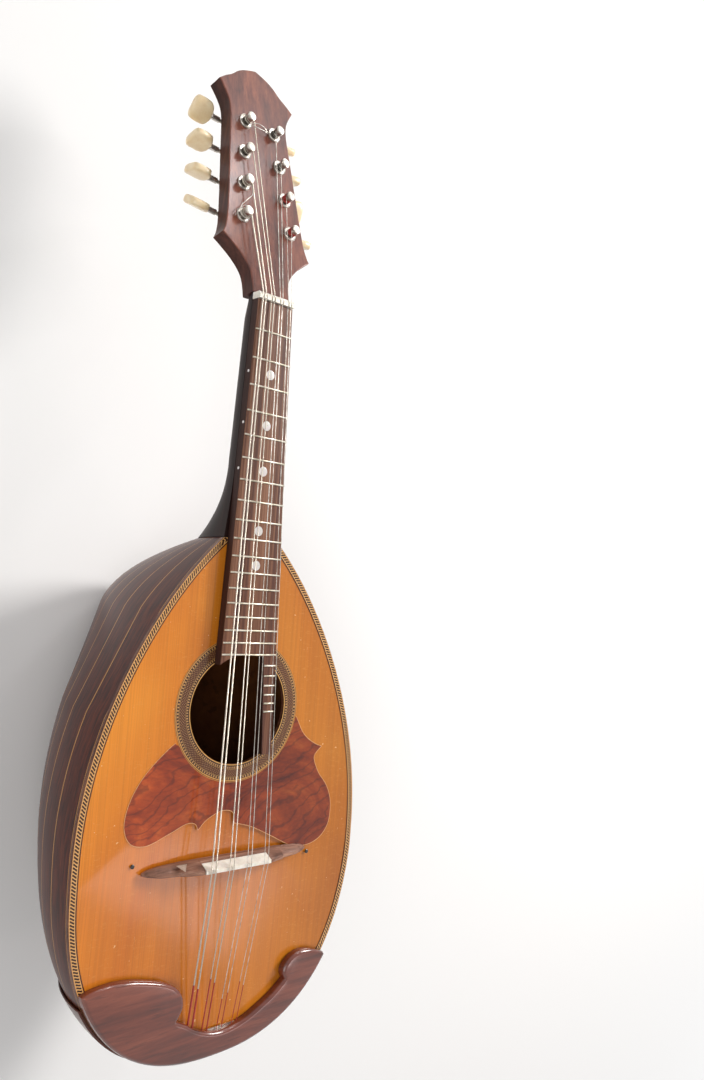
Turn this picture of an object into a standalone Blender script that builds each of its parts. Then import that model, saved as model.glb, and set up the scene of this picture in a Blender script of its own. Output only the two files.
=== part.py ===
# Bowl back mandolin lying on the flat of its bowl, soundboard up
# Metres, +Z up, +Y towards the head, +X towards the treble side
# The origin is the middle of the flat on the lowest rib of the bowl
import bpy
import bmesh
from math import acos, asin, atan2, copysign, cos, pi, radians, sin, sqrt, tan
from mathutils import Matrix, Vector

# Strings and neck. "FromNut" values run from the nut's front edge towards the tail
scaleLength = 0.335
fretCount = 24
jointFret = 10
nutHalfWidth = 0.01363
boardTaper = 0.0327
boardHeight = 0.0062
fretHeight = 0.0009
fretWidth = 0.0011
nutLength = 0.0042
nutRise = 0.0018
stringAtNut = 0.0010
courseAtNut = 0.00666
courseAtSaddle = 0.0130
courseAtTail = 0.0109
pairGap = 0.0022
pairGapAtTail = 0.0036
gauges = (0.00097, 0.00066, 0.00042, 0.00034)
neckDepthAtNut = 0.0150
neckDepthAtHeel = 0.0180
neckBlend = 0.0100
heelLength = 0.045
heelDepth = 0.048

# Body
restFromNut = 0.222
restFlat = 0.060
restHalfAngle = radians(8)
widestFromNut = 0.330
tailFromNut = 0.456
bodyHalfWidth = 0.1024
heelHalfWidth = 0.0210
bowlDepth = 0.142
bendPastSaddle = 0.0050
cantAngle = radians(3)
ribCount = 9
ribThickness = 0.0024
soundboardThickness = 0.0026
claspLength = 0.046
claspThickness = 0.0016
neckBlockLength = 0.020
tailBlockLength = 0.040
braceWidth = 0.006
braceDepth = 0.009
upperBraceFromNut = 0.203
lowerBraceFromNut = 0.302

# Trim of the top
bindingWidth = 0.0045
bindingDepth = 0.0015
holeFromNut = 0.2498
holeHalfWidth = 0.0354
holeHalfLength = 0.0335
rosetteWidth = 0.0106
rosetteDepth = 0.0009
guardDepth = 0.0008
tongueLeft = 0.0114
tongueLean = 0.0041
tonguePastFrets = 0.02625
guardHalfWidth = 0.0804
guardReach = 0.0889

# Bridge and tail
saddleSetback = 0.0050
bridgeHalfLength = 0.0600
bridgeHalfWidth = 0.0038
bridgeHeight = 0.0122
saddleHalfLength = 0.0238
saddleSeat = 0.0066
saddleRise = 0.0005
hookFromTail = 0.0130
hookRadius = 0.0007
hookHeight = 0.0032
tailPlateThickness = 0.0008
tailPlateLength = 0.0110
tailPlateHalfWidth = 0.0205
coverThickness = 0.0055
coverReach = 0.0593

# Head and tuning machines
headTilt = radians(12.6)
headRise = 0.0012
headThickness = 0.0110
headHalfWidth = 0.0347
headLength = 0.1628
postFirst = 0.0501
postPitch = 0.02313
postHalfSpread = 0.01895
postTaper = 0.105
postHeight = 0.0075
postRadius = 0.0026
waistRadius = 0.0021
capRadius = 0.0029
bushingRadius = 0.0038
collarRadius = 0.0047
collarHeight = 0.0008
plateThickness = 0.0010
plateHalfWidth = 0.0066
plateBelowRow = 0.0080
plateAboveRow = 0.0150
axisBelowFace = 0.0165
wheelTeeth = 14
wheelModule = 0.0006
wheelThickness = 0.0032
wormPitchRadius = 0.0020
wormTurns = 2.5
backlash = 0.00055
shaftRadius = 0.00125
shaftNeckRadius = 0.0019
shaftStep = 0.0085
shaftPastEar = 0.0010
earThickness = 0.0012
earHalfWidth = 0.0022
earOffset = 0.0044
buttonStart = 0.0155
buttonLength = 0.0142
buttonHalfWidth = 0.0080
buttonHalfThickness = 0.0029
buttonSocket = 0.0055
buttonTurns = (52, 70, 92, 130, 118, 31, 111, 128)
stringTurns = 2.25
pointsPerTurn = 10

# Touching pieces keep this gap, turning ones the second
gap = 0.0003
runningGap = 0.0003

mitreLimit = 2.0


def fretFromNut(number):
    return scaleLength * (1 - 2 ** (-number / 12))


# Places that follow from the sizes
jointFromNut = fretFromNut(jointFret)
tongueEnd = fretFromNut(fretCount) + tonguePastFrets
saddleFromNut = scaleLength + saddleSetback
bendFromNut = saddleFromNut + bendPastSaddle
hookFromNut = tailFromNut - hookFromTail
wheelPitchRadius = wheelTeeth * wheelModule / 2
centres = wheelPitchRadius + wormPitchRadius


def neckHalfWidth(fromNut):
    return nutHalfWidth + boardTaper * fromNut


def boardLevel(fromNut):
    # Height of the soundboard's face, which bends down behind the bridge
    return bowlDepth - max(0.0, fromNut - bendFromNut) * tan(cantAngle)


def place(x, fromNut, above):
    return Vector((x, restFromNut - fromNut, boardLevel(fromNut) + above))


def bodyWidthAt(fromNut):
    # Half the width: a stretched parabola to the neck, a full round tail
    if fromNut <= widestFromNut:
        s = (widestFromNut - fromNut) / (widestFromNut - jointFromNut)
        return bodyHalfWidth - (bodyHalfWidth - heelHalfWidth) * (0.93 * s ** 2 + 0.07 * s ** 8)
    t = min(1.0, (fromNut - widestFromNut) / (tailFromNut - widestFromNut))
    return bodyHalfWidth * (1 - t ** 2.4) ** (1 / 2.4)


def ribEdge(fromNut):
    return boardLevel(fromNut) - soundboardThickness - gap


def bowlBottom(fromNut):
    # Height of the bowl's lowest line, flat for restFlat about the origin
    start = restFromNut - restFlat / 2
    end = restFromNut + restFlat / 2
    if fromNut < start:
        s = (start - fromNut) / (start - jointFromNut)
        return (bowlDepth - heelDepth) * (0.90 * s ** 2 + 0.10 * s ** 5)
    if fromNut > end:
        t = min(1.0, (fromNut - end) / (tailFromNut - end))
        return ribEdge(fromNut) * (1 - (1 - t ** 2.15) ** (1 / 2.15))
    return 0.0


def bowlPoint(fromNut, angle, inward):
    # angle 0 is the treble edge, pi the bass edge
    wide = bodyWidthAt(fromNut) - inward
    deep = ribEdge(fromNut) - bowlBottom(fromNut) - inward
    drop = deep * min(1.0, sin(angle) / cos(restHalfAngle))
    return Vector((wide * cos(angle), restFromNut - fromNut, ribEdge(fromNut) - drop))


def bowlStations():
    start = restFromNut - restFlat / 2
    end = restFromNut + restFlat / 2
    upper = [start - (start - jointFromNut) * (1 - k / 6) ** 0.85 for k in range(7)]
    reach = (tailFromNut - 0.003 - end) / (tailFromNut - end)
    lower = [end + (tailFromNut - end) * sin(asin(reach) * k / 7) for k in range(8)]
    middle = [d for d in lower if abs(d - bendFromNut) > 0.006]
    return sorted(upper + middle + [bendFromNut])


# Mesh builders

def addObject(name, mesh, finish):
    thing = bpy.data.objects.new(name, mesh)
    bpy.context.scene.collection.objects.link(thing)
    thing.data.materials.clear()
    thing.data.materials.append(finish)
    return thing


def meshFrom(shape, sharpAngle=35):
    bmesh.ops.recalc_face_normals(shape, faces=shape.faces)
    mesh = bpy.data.meshes.new("shape")
    shape.to_mesh(mesh)
    shape.free()
    mesh.shade_smooth()
    mesh.set_sharp_from_angle(angle=radians(sharpAngle))
    return mesh


def loft(rings):
    # Closed solid through rings of equal point count, with flat ends
    shape = bmesh.new()
    rows = [[shape.verts.new(p) for p in ring] for ring in rings]
    count = len(rows[0])
    for low, high in zip(rows, rows[1:]):
        for k in range(count):
            nxt = (k + 1) % count
            shape.faces.new((low[k], low[nxt], high[nxt], high[k]))
    shape.faces.new(list(reversed(rows[0])))
    shape.faces.new(rows[-1])
    return shape


def prism(outline, low, high):
    # Outline of (x, fromNut) points, standing between two heights over the board
    return loft([[Vector((x, restFromNut - d, z)) for x, d in outline] for z in (low, high)])


def turned(profile, sides, phase=0.0):
    # Profile of (radius, height) points turned about the Z axis
    rings = []
    for radius, height in profile:
        angles = [phase + 2 * pi * k / sides for k in range(sides)]
        rings.append([Vector((radius * cos(a), radius * sin(a), height)) for a in angles])
    return loft(rings)


def moved(shape, matrix):
    shape.transform(matrix)
    return shape


def combine(base, others):
    # others is a list of (shape, "DIFFERENCE" or "UNION"), taken in turn
    blank = bpy.data.objects.new("blank", meshFrom(base))
    bpy.context.scene.collection.objects.link(blank)
    tools = []
    for shape, operation in others:
        tool = bpy.data.objects.new("tool", meshFrom(shape))
        bpy.context.scene.collection.objects.link(tool)
        change = blank.modifiers.new(operation.lower(), "BOOLEAN")
        change.operation = operation
        change.solver = "EXACT"
        change.object = tool
        tools.append(tool)
    evaluated = blank.evaluated_get(bpy.context.evaluated_depsgraph_get())
    result = bmesh.new()
    result.from_mesh(evaluated.to_mesh())
    evaluated.to_mesh_clear()
    bmesh.ops.remove_doubles(result, verts=result.verts, dist=1e-6)
    for thing in tools + [blank]:
        mesh = thing.data
        bpy.data.objects.remove(thing)
        bpy.data.meshes.remove(mesh)
    return result


def layOnBoard(shape):
    # Bends a flat shape down with the soundboard behind the bridge
    bmesh.ops.triangulate(shape, faces=[face for face in shape.faces if len(face.verts) > 4])
    everything = shape.verts[:] + shape.edges[:] + shape.faces[:]
    bendLine = Vector((0, restFromNut - bendFromNut, 0))
    bmesh.ops.bisect_plane(shape, geom=everything, plane_co=bendLine, plane_no=Vector((0, 1, 0)), dist=1e-6)
    for vert in shape.verts:
        vert.co.z += boardLevel(restFromNut - vert.co.y)
    return shape


def curveThrough(points, steps):
    # Smooth curve through the points, its ends included
    ends = [points[0]] + list(points) + [points[-1]]
    result = []
    for k in range(1, len(ends) - 2):
        p0, p1, p2, p3 = (Vector(ends[k + j]) for j in (-1, 0, 1, 2))
        for step in range(steps):
            t = step / steps
            a = 2 * p1 + (p2 - p0) * t
            b = (2 * p0 - 5 * p1 + 4 * p2 - p3) * t ** 2
            c = (3 * p1 - p0 - 3 * p2 + p3) * t ** 3
            result.append(tuple((a + b + c) / 2))
    result.append(tuple(points[-1]))
    return result


def offset(outline, distance):
    # Grows a closed outline, or shrinks it for a negative distance
    area = sum(a[0] * b[1] - b[0] * a[1] for a, b in zip(outline, outline[1:] + outline[:1]))
    turn = 1 if area > 0 else -1
    result = []
    for k, here in enumerate(outline):
        before = Vector(here) - Vector(outline[k - 1])
        after = Vector(outline[(k + 1) % len(outline)]) - Vector(here)
        n1 = Vector((before.y, -before.x)).normalized() * turn
        n2 = Vector((after.y, -after.x)).normalized() * turn
        mean = (n1 + n2).normalized()
        stretch = min(mitreLimit, 1 / max(0.2, mean.dot(n1)))
        result.append(tuple(Vector(here) + mean * distance * stretch))
    return result


def ellipse(grow, count):
    points = []
    for k in range(count):
        a = 2 * pi * k / count
        points.append(((holeHalfWidth + grow) * cos(a), holeFromNut + (holeHalfLength + grow) * sin(a)))
    return points


def bodyOutline(steps=11):
    # Treble side from the neck to the tail, then the bass side back
    upper = [jointFromNut + (widestFromNut - jointFromNut) * (k / steps) ** 1.15 for k in range(steps)]
    lower = [widestFromNut + (tailFromNut - widestFromNut) * sin(pi / 2 * k / steps) for k in range(steps)]
    treble = [(bodyWidthAt(d), d) for d in upper + lower]
    bass = [(-x, d) for x, d in reversed(treble)]
    return treble + [(0.0, tailFromNut)] + bass


def rimLine(distance, end):
    # The body outline moved by a distance, its two ends cut square
    outline = bodyOutline()
    (x0, d0), (x1, d1) = outline[:2]
    ahead = (2 * x0 - x1, 2 * d0 - d1)
    line = offset([ahead] + outline + [(-ahead[0], ahead[1])], distance)[1:-1]
    slope = (x1 - x0) / (d1 - d0)
    for k, side in ((0, 1), (-1, -1)):
        x, d = line[k]
        line[k] = (x + side * slope * (end - d), end)
    return line


def rimStrip(outer, inner, end, low, high):
    # U-shaped strip along the body outline, open at the neck
    rings = []
    for (x0, d0), (x1, d1) in zip(rimLine(outer, end), rimLine(inner, end)):
        y0, y1 = restFromNut - d0, restFromNut - d1
        rings.append([Vector((x0, y0, low)), Vector((x0, y0, high)), Vector((x1, y1, high)), Vector((x1, y1, low))])
    return loft(rings)


def finish(name, colour, roughness, metallic=0.0):
    material = bpy.data.materials.new(name)
    material.use_nodes = True
    shader = material.node_tree.nodes["Principled BSDF"]
    shader.inputs["Base Color"].default_value = (*colour, 1)
    shader.inputs["Roughness"].default_value = roughness
    shader.inputs["Metallic"].default_value = metallic
    return material


# Body pieces

def buildSoundboard(finishes):
    edge = offset(bodyOutline(), 0.0)
    board = prism(edge, -soundboardThickness, 0)
    rebate = rimStrip(0.004, -bindingWidth - gap, jointFromNut - 0.002, -bindingDepth - gap, 0.002)
    hole = prism(ellipse(0, 36), -2 * soundboardThickness, 0.002)
    ring = prism(ellipse(rosetteWidth + gap, 36), -rosetteDepth - gap, 0.002)
    guard = prism(offset(guardOutline(), gap), -guardDepth - gap, 0.002)
    cutters = [(layOnBoard(cutter), "DIFFERENCE") for cutter in (rebate, hole, ring, guard)]
    return addObject("soundboard", meshFrom(combine(layOnBoard(board), cutters)), finishes["soundboard"])


def buildBinding(finishes):
    strip = rimStrip(0, -bindingWidth, jointFromNut, -bindingDepth, 0)
    return addObject("edge_binding", meshFrom(layOnBoard(strip)), finishes["binding"])


def buildRosette(finishes):
    disc = prism(ellipse(rosetteWidth, 36), -rosetteDepth, 0)
    hole = prism(ellipse(0, 36), -2 * rosetteDepth, rosetteDepth)
    shape = combine(disc, [(hole, "DIFFERENCE")])
    return addObject("rosette", meshFrom(layOnBoard(shape)), finishes["rosette"])


def guardOutline():
    # Butterfly inlay: bass wing, tip under the strings, treble wing with its horn
    # Each point is a share of the half width and of the reach below the hole's middle
    bassWing = curveThrough([(-0.373, 0.182), (-0.653, 0.288), (-0.827, 0.452), (-0.905, 0.705),
                             (-0.796, 0.835), (-0.540, 0.785), (-0.373, 0.736), (-0.290, 0.785)], 3)
    middle = curveThrough([(-0.290, 0.785), (-0.187, 0.709), (-0.075, 0.678), (0.012, 0.696), (0.039, 0.773)], 2)
    trebleWing = curveThrough([(0.039, 0.773), (0.299, 0.848), (0.582, 0.978), (0.816, 1.0), (0.996, 0.882),
                               (1.0, 0.677), (0.858, 0.494), (0.796, 0.379), (0.869, 0.300)], 3)
    horn = curveThrough([(0.869, 0.300), (0.720, 0.240), (0.622, 0.137), (0.498, 0.002)], 2)
    inside = [(0.0, 0.227)]
    shares = bassWing[:-1] + middle[:-1] + trebleWing[:-1] + horn + inside
    return [(u * guardHalfWidth, holeFromNut + v * guardReach) for u, v in shares]


def buildGuard(finishes):
    plate = prism(guardOutline(), -guardDepth, 0)
    ring = prism(ellipse(rosetteWidth + gap, 36), -2 * guardDepth, guardDepth)
    shape = combine(plate, [(ring, "DIFFERENCE")])
    return addObject("pickguard", meshFrom(layOnBoard(shape)), finishes["guard"])


def ribAngles(number):
    # Angles of a rib's outer points, the lowest rib having its flat between the inner two
    span = pi / ribCount
    first = number * span
    if number == ribCount // 2:
        return [first, pi / 2 - restHalfAngle, pi / 2 + restHalfAngle, first + span]
    return [first, first + span / 2, first + span]


def bowlAngles():
    angles = [0.0]
    for number in range(ribCount):
        angles += ribAngles(number)[1:]
    return angles


def buildRibs(finishes):
    for number in range(ribCount):
        plain = ribAngles(number)
        rings = []
        for d in bowlStations():
            wide = bodyWidthAt(d)
            deep = ribEdge(d) - bowlBottom(d)
            angles = list(plain)
            for k, side in ((0, 1), (-1, -1)):
                angle = plain[k]
                speed = sqrt((wide * sin(angle)) ** 2 + (deep * cos(angle)) ** 2)
                isRim = angle < 1e-6 or angle > pi - 1e-6
                angles[k] = angle if isRim else angle + side * gap / 2 / speed
            ring = [bowlPoint(d, a, 0) for a in angles]
            ring += [bowlPoint(d, a, ribThickness) for a in reversed(angles)]
            rings.append(ring)
        addObject("bowl_rib_%d" % (number + 1), meshFrom(loft(rings)), finishes["rib"])


def halfBowl(stations, inward):
    return loft([[bowlPoint(d, a, inward) for a in bowlAngles()] for d in stations])


def buildBlocks(finishes):
    inward = ribThickness + gap
    tail = [d for d in bowlStations() if d > tailFromNut - tailBlockLength - 0.004]
    addObject("tail_block", meshFrom(halfBowl(tail, inward)), finishes["block"])
    neck = [d for d in bowlStations() if d < jointFromNut + neckBlockLength + 0.004]
    addObject("neck_block", meshFrom(halfBowl(neck, inward)), finishes["block"])


def buildClasp(finishes):
    # A shell round the tail end of the ribs, with an end wall
    start = tailFromNut - claspLength
    end = bowlStations()[-1]
    stations = [start] + [d for d in bowlStations() if d > start + 0.004]
    outer = [[bowlPoint(d, a, -gap - claspThickness) for a in bowlAngles()] for d in stations]
    inner = [[bowlPoint(d, a, -gap) for a in bowlAngles()] for d in stations]
    for row, reach in ((outer[-1], gap + claspThickness), (inner[-1], gap)):
        for point in row:
            point.y -= reach
    shape = bmesh.new()
    outside = [[shape.verts.new(p) for p in row] for row in outer]
    inside = [[shape.verts.new(p) for p in row] for row in inner]
    last = len(outer[0]) - 1
    for rows in (outside, inside):
        for low, high in zip(rows, rows[1:]):
            for k in range(last):
                shape.faces.new((low[k], low[k + 1], high[k + 1], high[k]))
        shape.faces.new(rows[-1])
    for k in range(last):
        shape.faces.new((outside[0][k], outside[0][k + 1], inside[0][k + 1], inside[0][k]))
    for k in (0, last):
        for i in range(len(outside) - 1):
            shape.faces.new((outside[i][k], outside[i + 1][k], inside[i + 1][k], inside[i][k]))
    shape.faces.new((outside[-1][0], outside[-1][last], inside[-1][last], inside[-1][0]))
    addObject("end_clasp", meshFrom(shape), finishes["rib"])


def buildBraces(finishes):
    for name, d in (("upper_brace", upperBraceFromNut), ("lower_brace", lowerBraceFromNut)):
        top = boardLevel(d) - soundboardThickness - gap
        half = bodyWidthAt(d - braceWidth / 2) - ribThickness - 5 * gap
        rings = []
        for x, depth in ((-half, 0.35), (-half + 0.016, 1), (half - 0.016, 1), (half, 0.35)):
            low = top - braceDepth * depth
            y = restFromNut - d
            rings.append([Vector((x, y - braceWidth / 2, top)), Vector((x, y + braceWidth / 2, top)),
                          Vector((x, y + braceWidth / 3, low)), Vector((x, y - braceWidth / 3, low))])
        addObject(name, meshFrom(loft(rings)), finishes["block"])


# Neck pieces

def buildNeck(finishes):
    end = jointFromNut - gap
    nutEnd = -nutLength - 2 * gap
    heelStart = jointFromNut - heelLength
    along = [end - heelLength * (k / 6) ** 1.3 for k in range(7)]
    along += [heelStart * 0.55, neckBlend * 1.2, neckBlend * 0.3]
    rings = []
    for d in along + [nutEnd]:
        s = max(0.0, (d - heelStart) / heelLength)
        plain = neckDepthAtNut + (neckDepthAtHeel - neckDepthAtNut) * d / heelStart
        deep = plain + (heelDepth - plain) * s ** 2.2
        wide = neckHalfWidth(max(d, 0)) * (1 - s ** 2) + heelHalfWidth * s ** 2
        if d < neckBlend:
            deep = headThickness + (deep - headThickness) * (d - nutEnd) / (neckBlend - nutEnd)
        ring = []
        for k in range(13):
            a = pi * k / 12
            drop = deep * sin(a) ** 0.85
            lean = (drop + headRise) * tan(headTilt) if d == nutEnd else 0.0
            ring.append(place(wide * cos(a), d, -drop) - Vector((0, lean, 0)))
        rings.append(ring)
    addObject("neck", meshFrom(loft(rings)), finishes["neck"])


def buildFingerboard(finishes):
    # Side profile with the frets standing on it, widened across, then cut to the sound hole
    profile = [(0.0, gap), (0.0, boardHeight)]
    for number in range(1, fretCount + 1):
        d = fretFromNut(number)
        half = fretWidth / 2
        profile += [(d - half, boardHeight), (d - half / 3, boardHeight + fretHeight),
                    (d + half / 3, boardHeight + fretHeight), (d + half, boardHeight)]
    profile += [(tongueEnd, boardHeight), (tongueEnd, gap)]
    rings = []
    for side in (-1, 1):
        rings.append([Vector((side * neckHalfWidth(d), restFromNut - d, z)) for d, z in profile])
    blank = loft(rings)
    arc = []
    for k in range(13):
        x = -0.030 + (tongueLeft + 0.030) * k / 12
        arc.append((x, holeFromNut - holeHalfLength * sqrt(1 - (x / holeHalfWidth) ** 2)))
    past = tongueEnd + 0.004
    cutter = [(-0.030, past)] + arc + [(tongueLeft + tongueLean, past)]
    shape = combine(blank, [(prism(cutter, -0.002, boardHeight + 0.004), "DIFFERENCE")])
    addObject("fingerboard", meshFrom(layOnBoard(shape), 20), finishes["fingerboard"])


def stringStations(number):
    # Course 0 is the lowest, two strings to a course
    course, second = divmod(number, 2)
    lane = course - 1.5
    side = second - 0.5
    atNut = lane * courseAtNut + side * pairGap
    atSaddle = lane * courseAtSaddle + side * pairGap * 1.35
    atTail = lane * courseAtTail + side * pairGapAtTail
    return atNut, atSaddle, atTail, gauges[course] / 2


def buildNut(finishes):
    top = boardHeight + nutRise
    back = nutLength + gap
    section = [(-gap, gap), (-gap, top), (-back * 0.55, top), (-back, top - 0.0014), (-back, gap)]
    rings = []
    for side in (-1, 1):
        rings.append([Vector((side * nutHalfWidth, restFromNut - d, z)) for d, z in section])
    slots = []
    for number in range(8):
        x, _, _, radius = stringStations(number)
        low = boardHeight + stringAtNut - radius - gap
        half = radius + gap
        square = [(x - half, 0.002), (x + half, 0.002), (x + half, -0.008), (x - half, -0.008)]
        slots.append((prism(square, low, top + 0.002), "DIFFERENCE"))
    shape = combine(loft(rings), slots)
    addObject("nut", meshFrom(layOnBoard(shape)), finishes["bone"])


# Bridge and tail pieces

def bridgeSection(x):
    # Half width and height of the bridge at a place along it
    reach = abs(x) / bridgeHalfLength
    marks = ((0, 1, 1), (0.42, 1, 0.98), (0.60, 1, 0.72), (0.64, 0.94, 0.58), (0.83, 0.82, 0.47),
             (0.95, 0.50, 0.28), (1, 0.2, 0.14))
    for (r0, w0, h0), (r1, w1, h1) in zip(marks, marks[1:]):
        if reach <= r1 + 1e-9:
            t = (reach - r0) / (r1 - r0)
            return bridgeHalfWidth * (w0 + (w1 - w0) * t), bridgeHeight * (h0 + (h1 - h0) * t)
    return bridgeHalfWidth * 0.2, bridgeHeight * 0.14


def buildBridge(finishes):
    rings = []
    for reach in (-1, -0.95, -0.83, -0.64, -0.60, -0.42, 0.42, 0.60, 0.64, 0.83, 0.95, 1):
        x = reach * bridgeHalfLength
        wide, high = bridgeSection(x)
        section = ((-wide, gap), (-wide, 0.40 * high), (0.10 * wide, high), (0.70 * wide, high), (wide, gap))
        rings.append([Vector((x, restFromNut - saddleFromNut - d, z)) for d, z in section])
    half = saddleHalfLength + gap
    near = saddleFromNut - bridgeHalfWidth - 0.002
    far = saddleFromNut + bridgeHalfWidth + 0.002
    notch = prism([(-half, near), (half, near), (half, far), (-half, far)], saddleSeat, bridgeHeight + 0.005)
    shape = combine(loft(rings), [(notch, "DIFFERENCE")])
    addObject("bridge", meshFrom(layOnBoard(shape)), finishes["bridge"])
    low = saddleSeat + gap
    top = bridgeHeight + saddleRise
    slope = (low - 0.40 * bridgeHeight) / (0.60 * bridgeHeight)
    wide = bridgeHalfWidth
    section = ((-wide + 1.10 * wide * slope, low), (0.10 * wide, top), (0.62 * wide, top), (0.84 * wide, low))
    rings = []
    for x in (-saddleHalfLength, saddleHalfLength):
        rings.append([Vector((x, restFromNut - saddleFromNut - d, z)) for d, z in section])
    addObject("saddle", meshFrom(layOnBoard(loft(rings))), finishes["bone"])


def coverOutline():
    # Front edge from the bass rim to the treble rim, then round the tail along the body
    # Each point is a share of the body's half width and of the reach from the tail
    bassLobe = curveThrough([(-0.894, 0.944), (-0.767, 0.997), (-0.578, 0.980), (-0.375, 0.882),
                             (-0.254, 0.723), (-0.242, 0.556), (-0.272, 0.469)], 3)
    hollow = curveThrough([(-0.272, 0.469), (-0.127, 0.324), (0.059, 0.236), (0.244, 0.300), (0.507, 0.573)], 3)
    trebleLobe = curveThrough([(0.507, 0.573), (0.494, 0.708), (0.576, 0.823), (0.703, 0.826), (0.825, 0.750)], 3)
    shares = bassLobe[:-1] + hollow[:-1] + trebleLobe
    front = [(u * bodyHalfWidth, tailFromNut - v * coverReach) for u, v in shares]
    bassEnd, trebleEnd = front[0][1] + mitreLimit * gap, front[-1][1] + mitreLimit * gap
    rim = [(x, d) for x, d in bodyOutline() if d > (trebleEnd if x > 0 else bassEnd)]
    return front[1:-1] + rim


def buildCover(finishes):
    outline = coverOutline()
    edge = coverThickness / 4
    rings = []
    for inset, height in ((0, gap), (0, coverThickness - 1.6 * edge), (0.35 * edge, coverThickness - 0.6 * edge),
                          (1.2 * edge, coverThickness)):
        rings.append([Vector((x, restFromNut - d, height)) for x, d in offset(outline, -inset)])
    half = tailPlateHalfWidth + gap
    pocketEnd = hookFromNut - 0.0025 + tailPlateLength + 2 * gap
    start = tailFromNut - coverReach
    square = [(-half, start), (half, start), (half, pocketEnd), (-half, pocketEnd)]
    pocket = prism(square, -0.002, tailPlateThickness + 2 * gap)
    half = tailPlateHalfWidth - gap
    lipEnd = hookFromNut + 3.5 * hookRadius
    lip = [(-half, start), (half, start), (half, lipEnd), (-half, lipEnd)]
    hookRoom = prism(lip, -0.001, hookHeight + 0.0006)
    shape = combine(layOnBoard(loft(rings)), [(layOnBoard(tool), "DIFFERENCE") for tool in (pocket, hookRoom)])
    addObject("tail_cover", meshFrom(shape), finishes["cover"])


def buildTailpiece(finishes):
    near = hookFromNut - 0.0025
    far = near + tailPlateLength
    half = tailPlateHalfWidth
    square = [(-half, near), (half, near), (half, far), (-half, far)]
    plate = prism(square, gap, gap + tailPlateThickness)
    hooks = []
    for number in range(8):
        _, _, x, _ = stringStations(number)
        hook = turned([(hookRadius, gap + tailPlateThickness / 2), (hookRadius, hookHeight - 0.0006),
                       (hookRadius * 1.5, hookHeight - 0.0003), (hookRadius * 1.1, hookHeight)], 6)
        hooks.append((moved(hook, Matrix.Translation((x, restFromNut - hookFromNut, 0))), "UNION"))
    shape = combine(plate, hooks)
    addObject("tailpiece", meshFrom(layOnBoard(shape)), finishes["nickel"])


# Head and tuning machines

def headMatrix():
    # Local X across, Y along the head from the nut, Z out of its face
    origin = place(0, -nutLength - 2 * gap, headRise)
    return Matrix.Translation(origin) @ Matrix.Rotation(-headTilt, 4, "X")


def headOutline():
    # Each point is a share of the head's half width and length
    throat = curveThrough([(0.415, 0.002), (0.418, 0.061), (0.519, 0.114), (0.692, 0.157), (1.0, 0.211)], 2)
    flank = curveThrough([(1.0, 0.211), (0.911, 0.249), (0.798, 0.442), (0.726, 0.602), (0.660, 0.762),
                          (0.697, 0.814), (0.862, 0.883)], 1)
    crown = curveThrough([(0.862, 0.883), (0.715, 0.915), (0.516, 0.940), (0.297, 0.974), (0.0, 1.0)], 2)
    shares = throat[:-1] + flank[:-1] + crown
    half = [(u * headHalfWidth, v * headLength) for u, v in shares]
    return half + [(-x, s) for x, s in reversed(half[:-1])]


def postPlace(number):
    # Machines 0 to 3 stand on the bass side from the nut upwards, 4 to 7 on the treble side
    side = -1 if number < 4 else 1
    step = number % 4
    s = postFirst + step * postPitch
    return side, side * (postHalfSpread - postTaper * (s - postFirst)), s


def postFrame(number):
    # Local Y runs along the row to the crown, Z up the post from the head's face
    side, x, s = postPlace(number)
    lean = Matrix.Rotation(side * atan2(postTaper, 1), 4, "Z")
    return headMatrix() @ Matrix.Translation((x, s, 0)) @ lean


def machineFrame(number):
    # Local X points out to the button, Y along the row, the middle of the wheel at the origin
    side = postPlace(number)[0]
    half = Matrix.Rotation(pi, 4, "Y") if side < 0 else Matrix.Identity(4)
    return postFrame(number) @ Matrix.Translation((0, 0, -axisBelowFace)) @ half


def buildHead(finishes):
    rings = []
    for low in (-headThickness, 0.0):
        rings.append([Vector((x, s, low)) for x, s in headOutline()])
    bores = []
    for number in range(8):
        _, x, s = postPlace(number)
        bore = turned([(bushingRadius + gap, -2 * headThickness), (bushingRadius + gap, headThickness)], 12)
        bores.append((moved(bore, Matrix.Translation((x, s, 0))), "DIFFERENCE"))
    shape = combine(loft(rings), bores)
    addObject("headstock", meshFrom(moved(shape, headMatrix())), finishes["head"])


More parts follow.
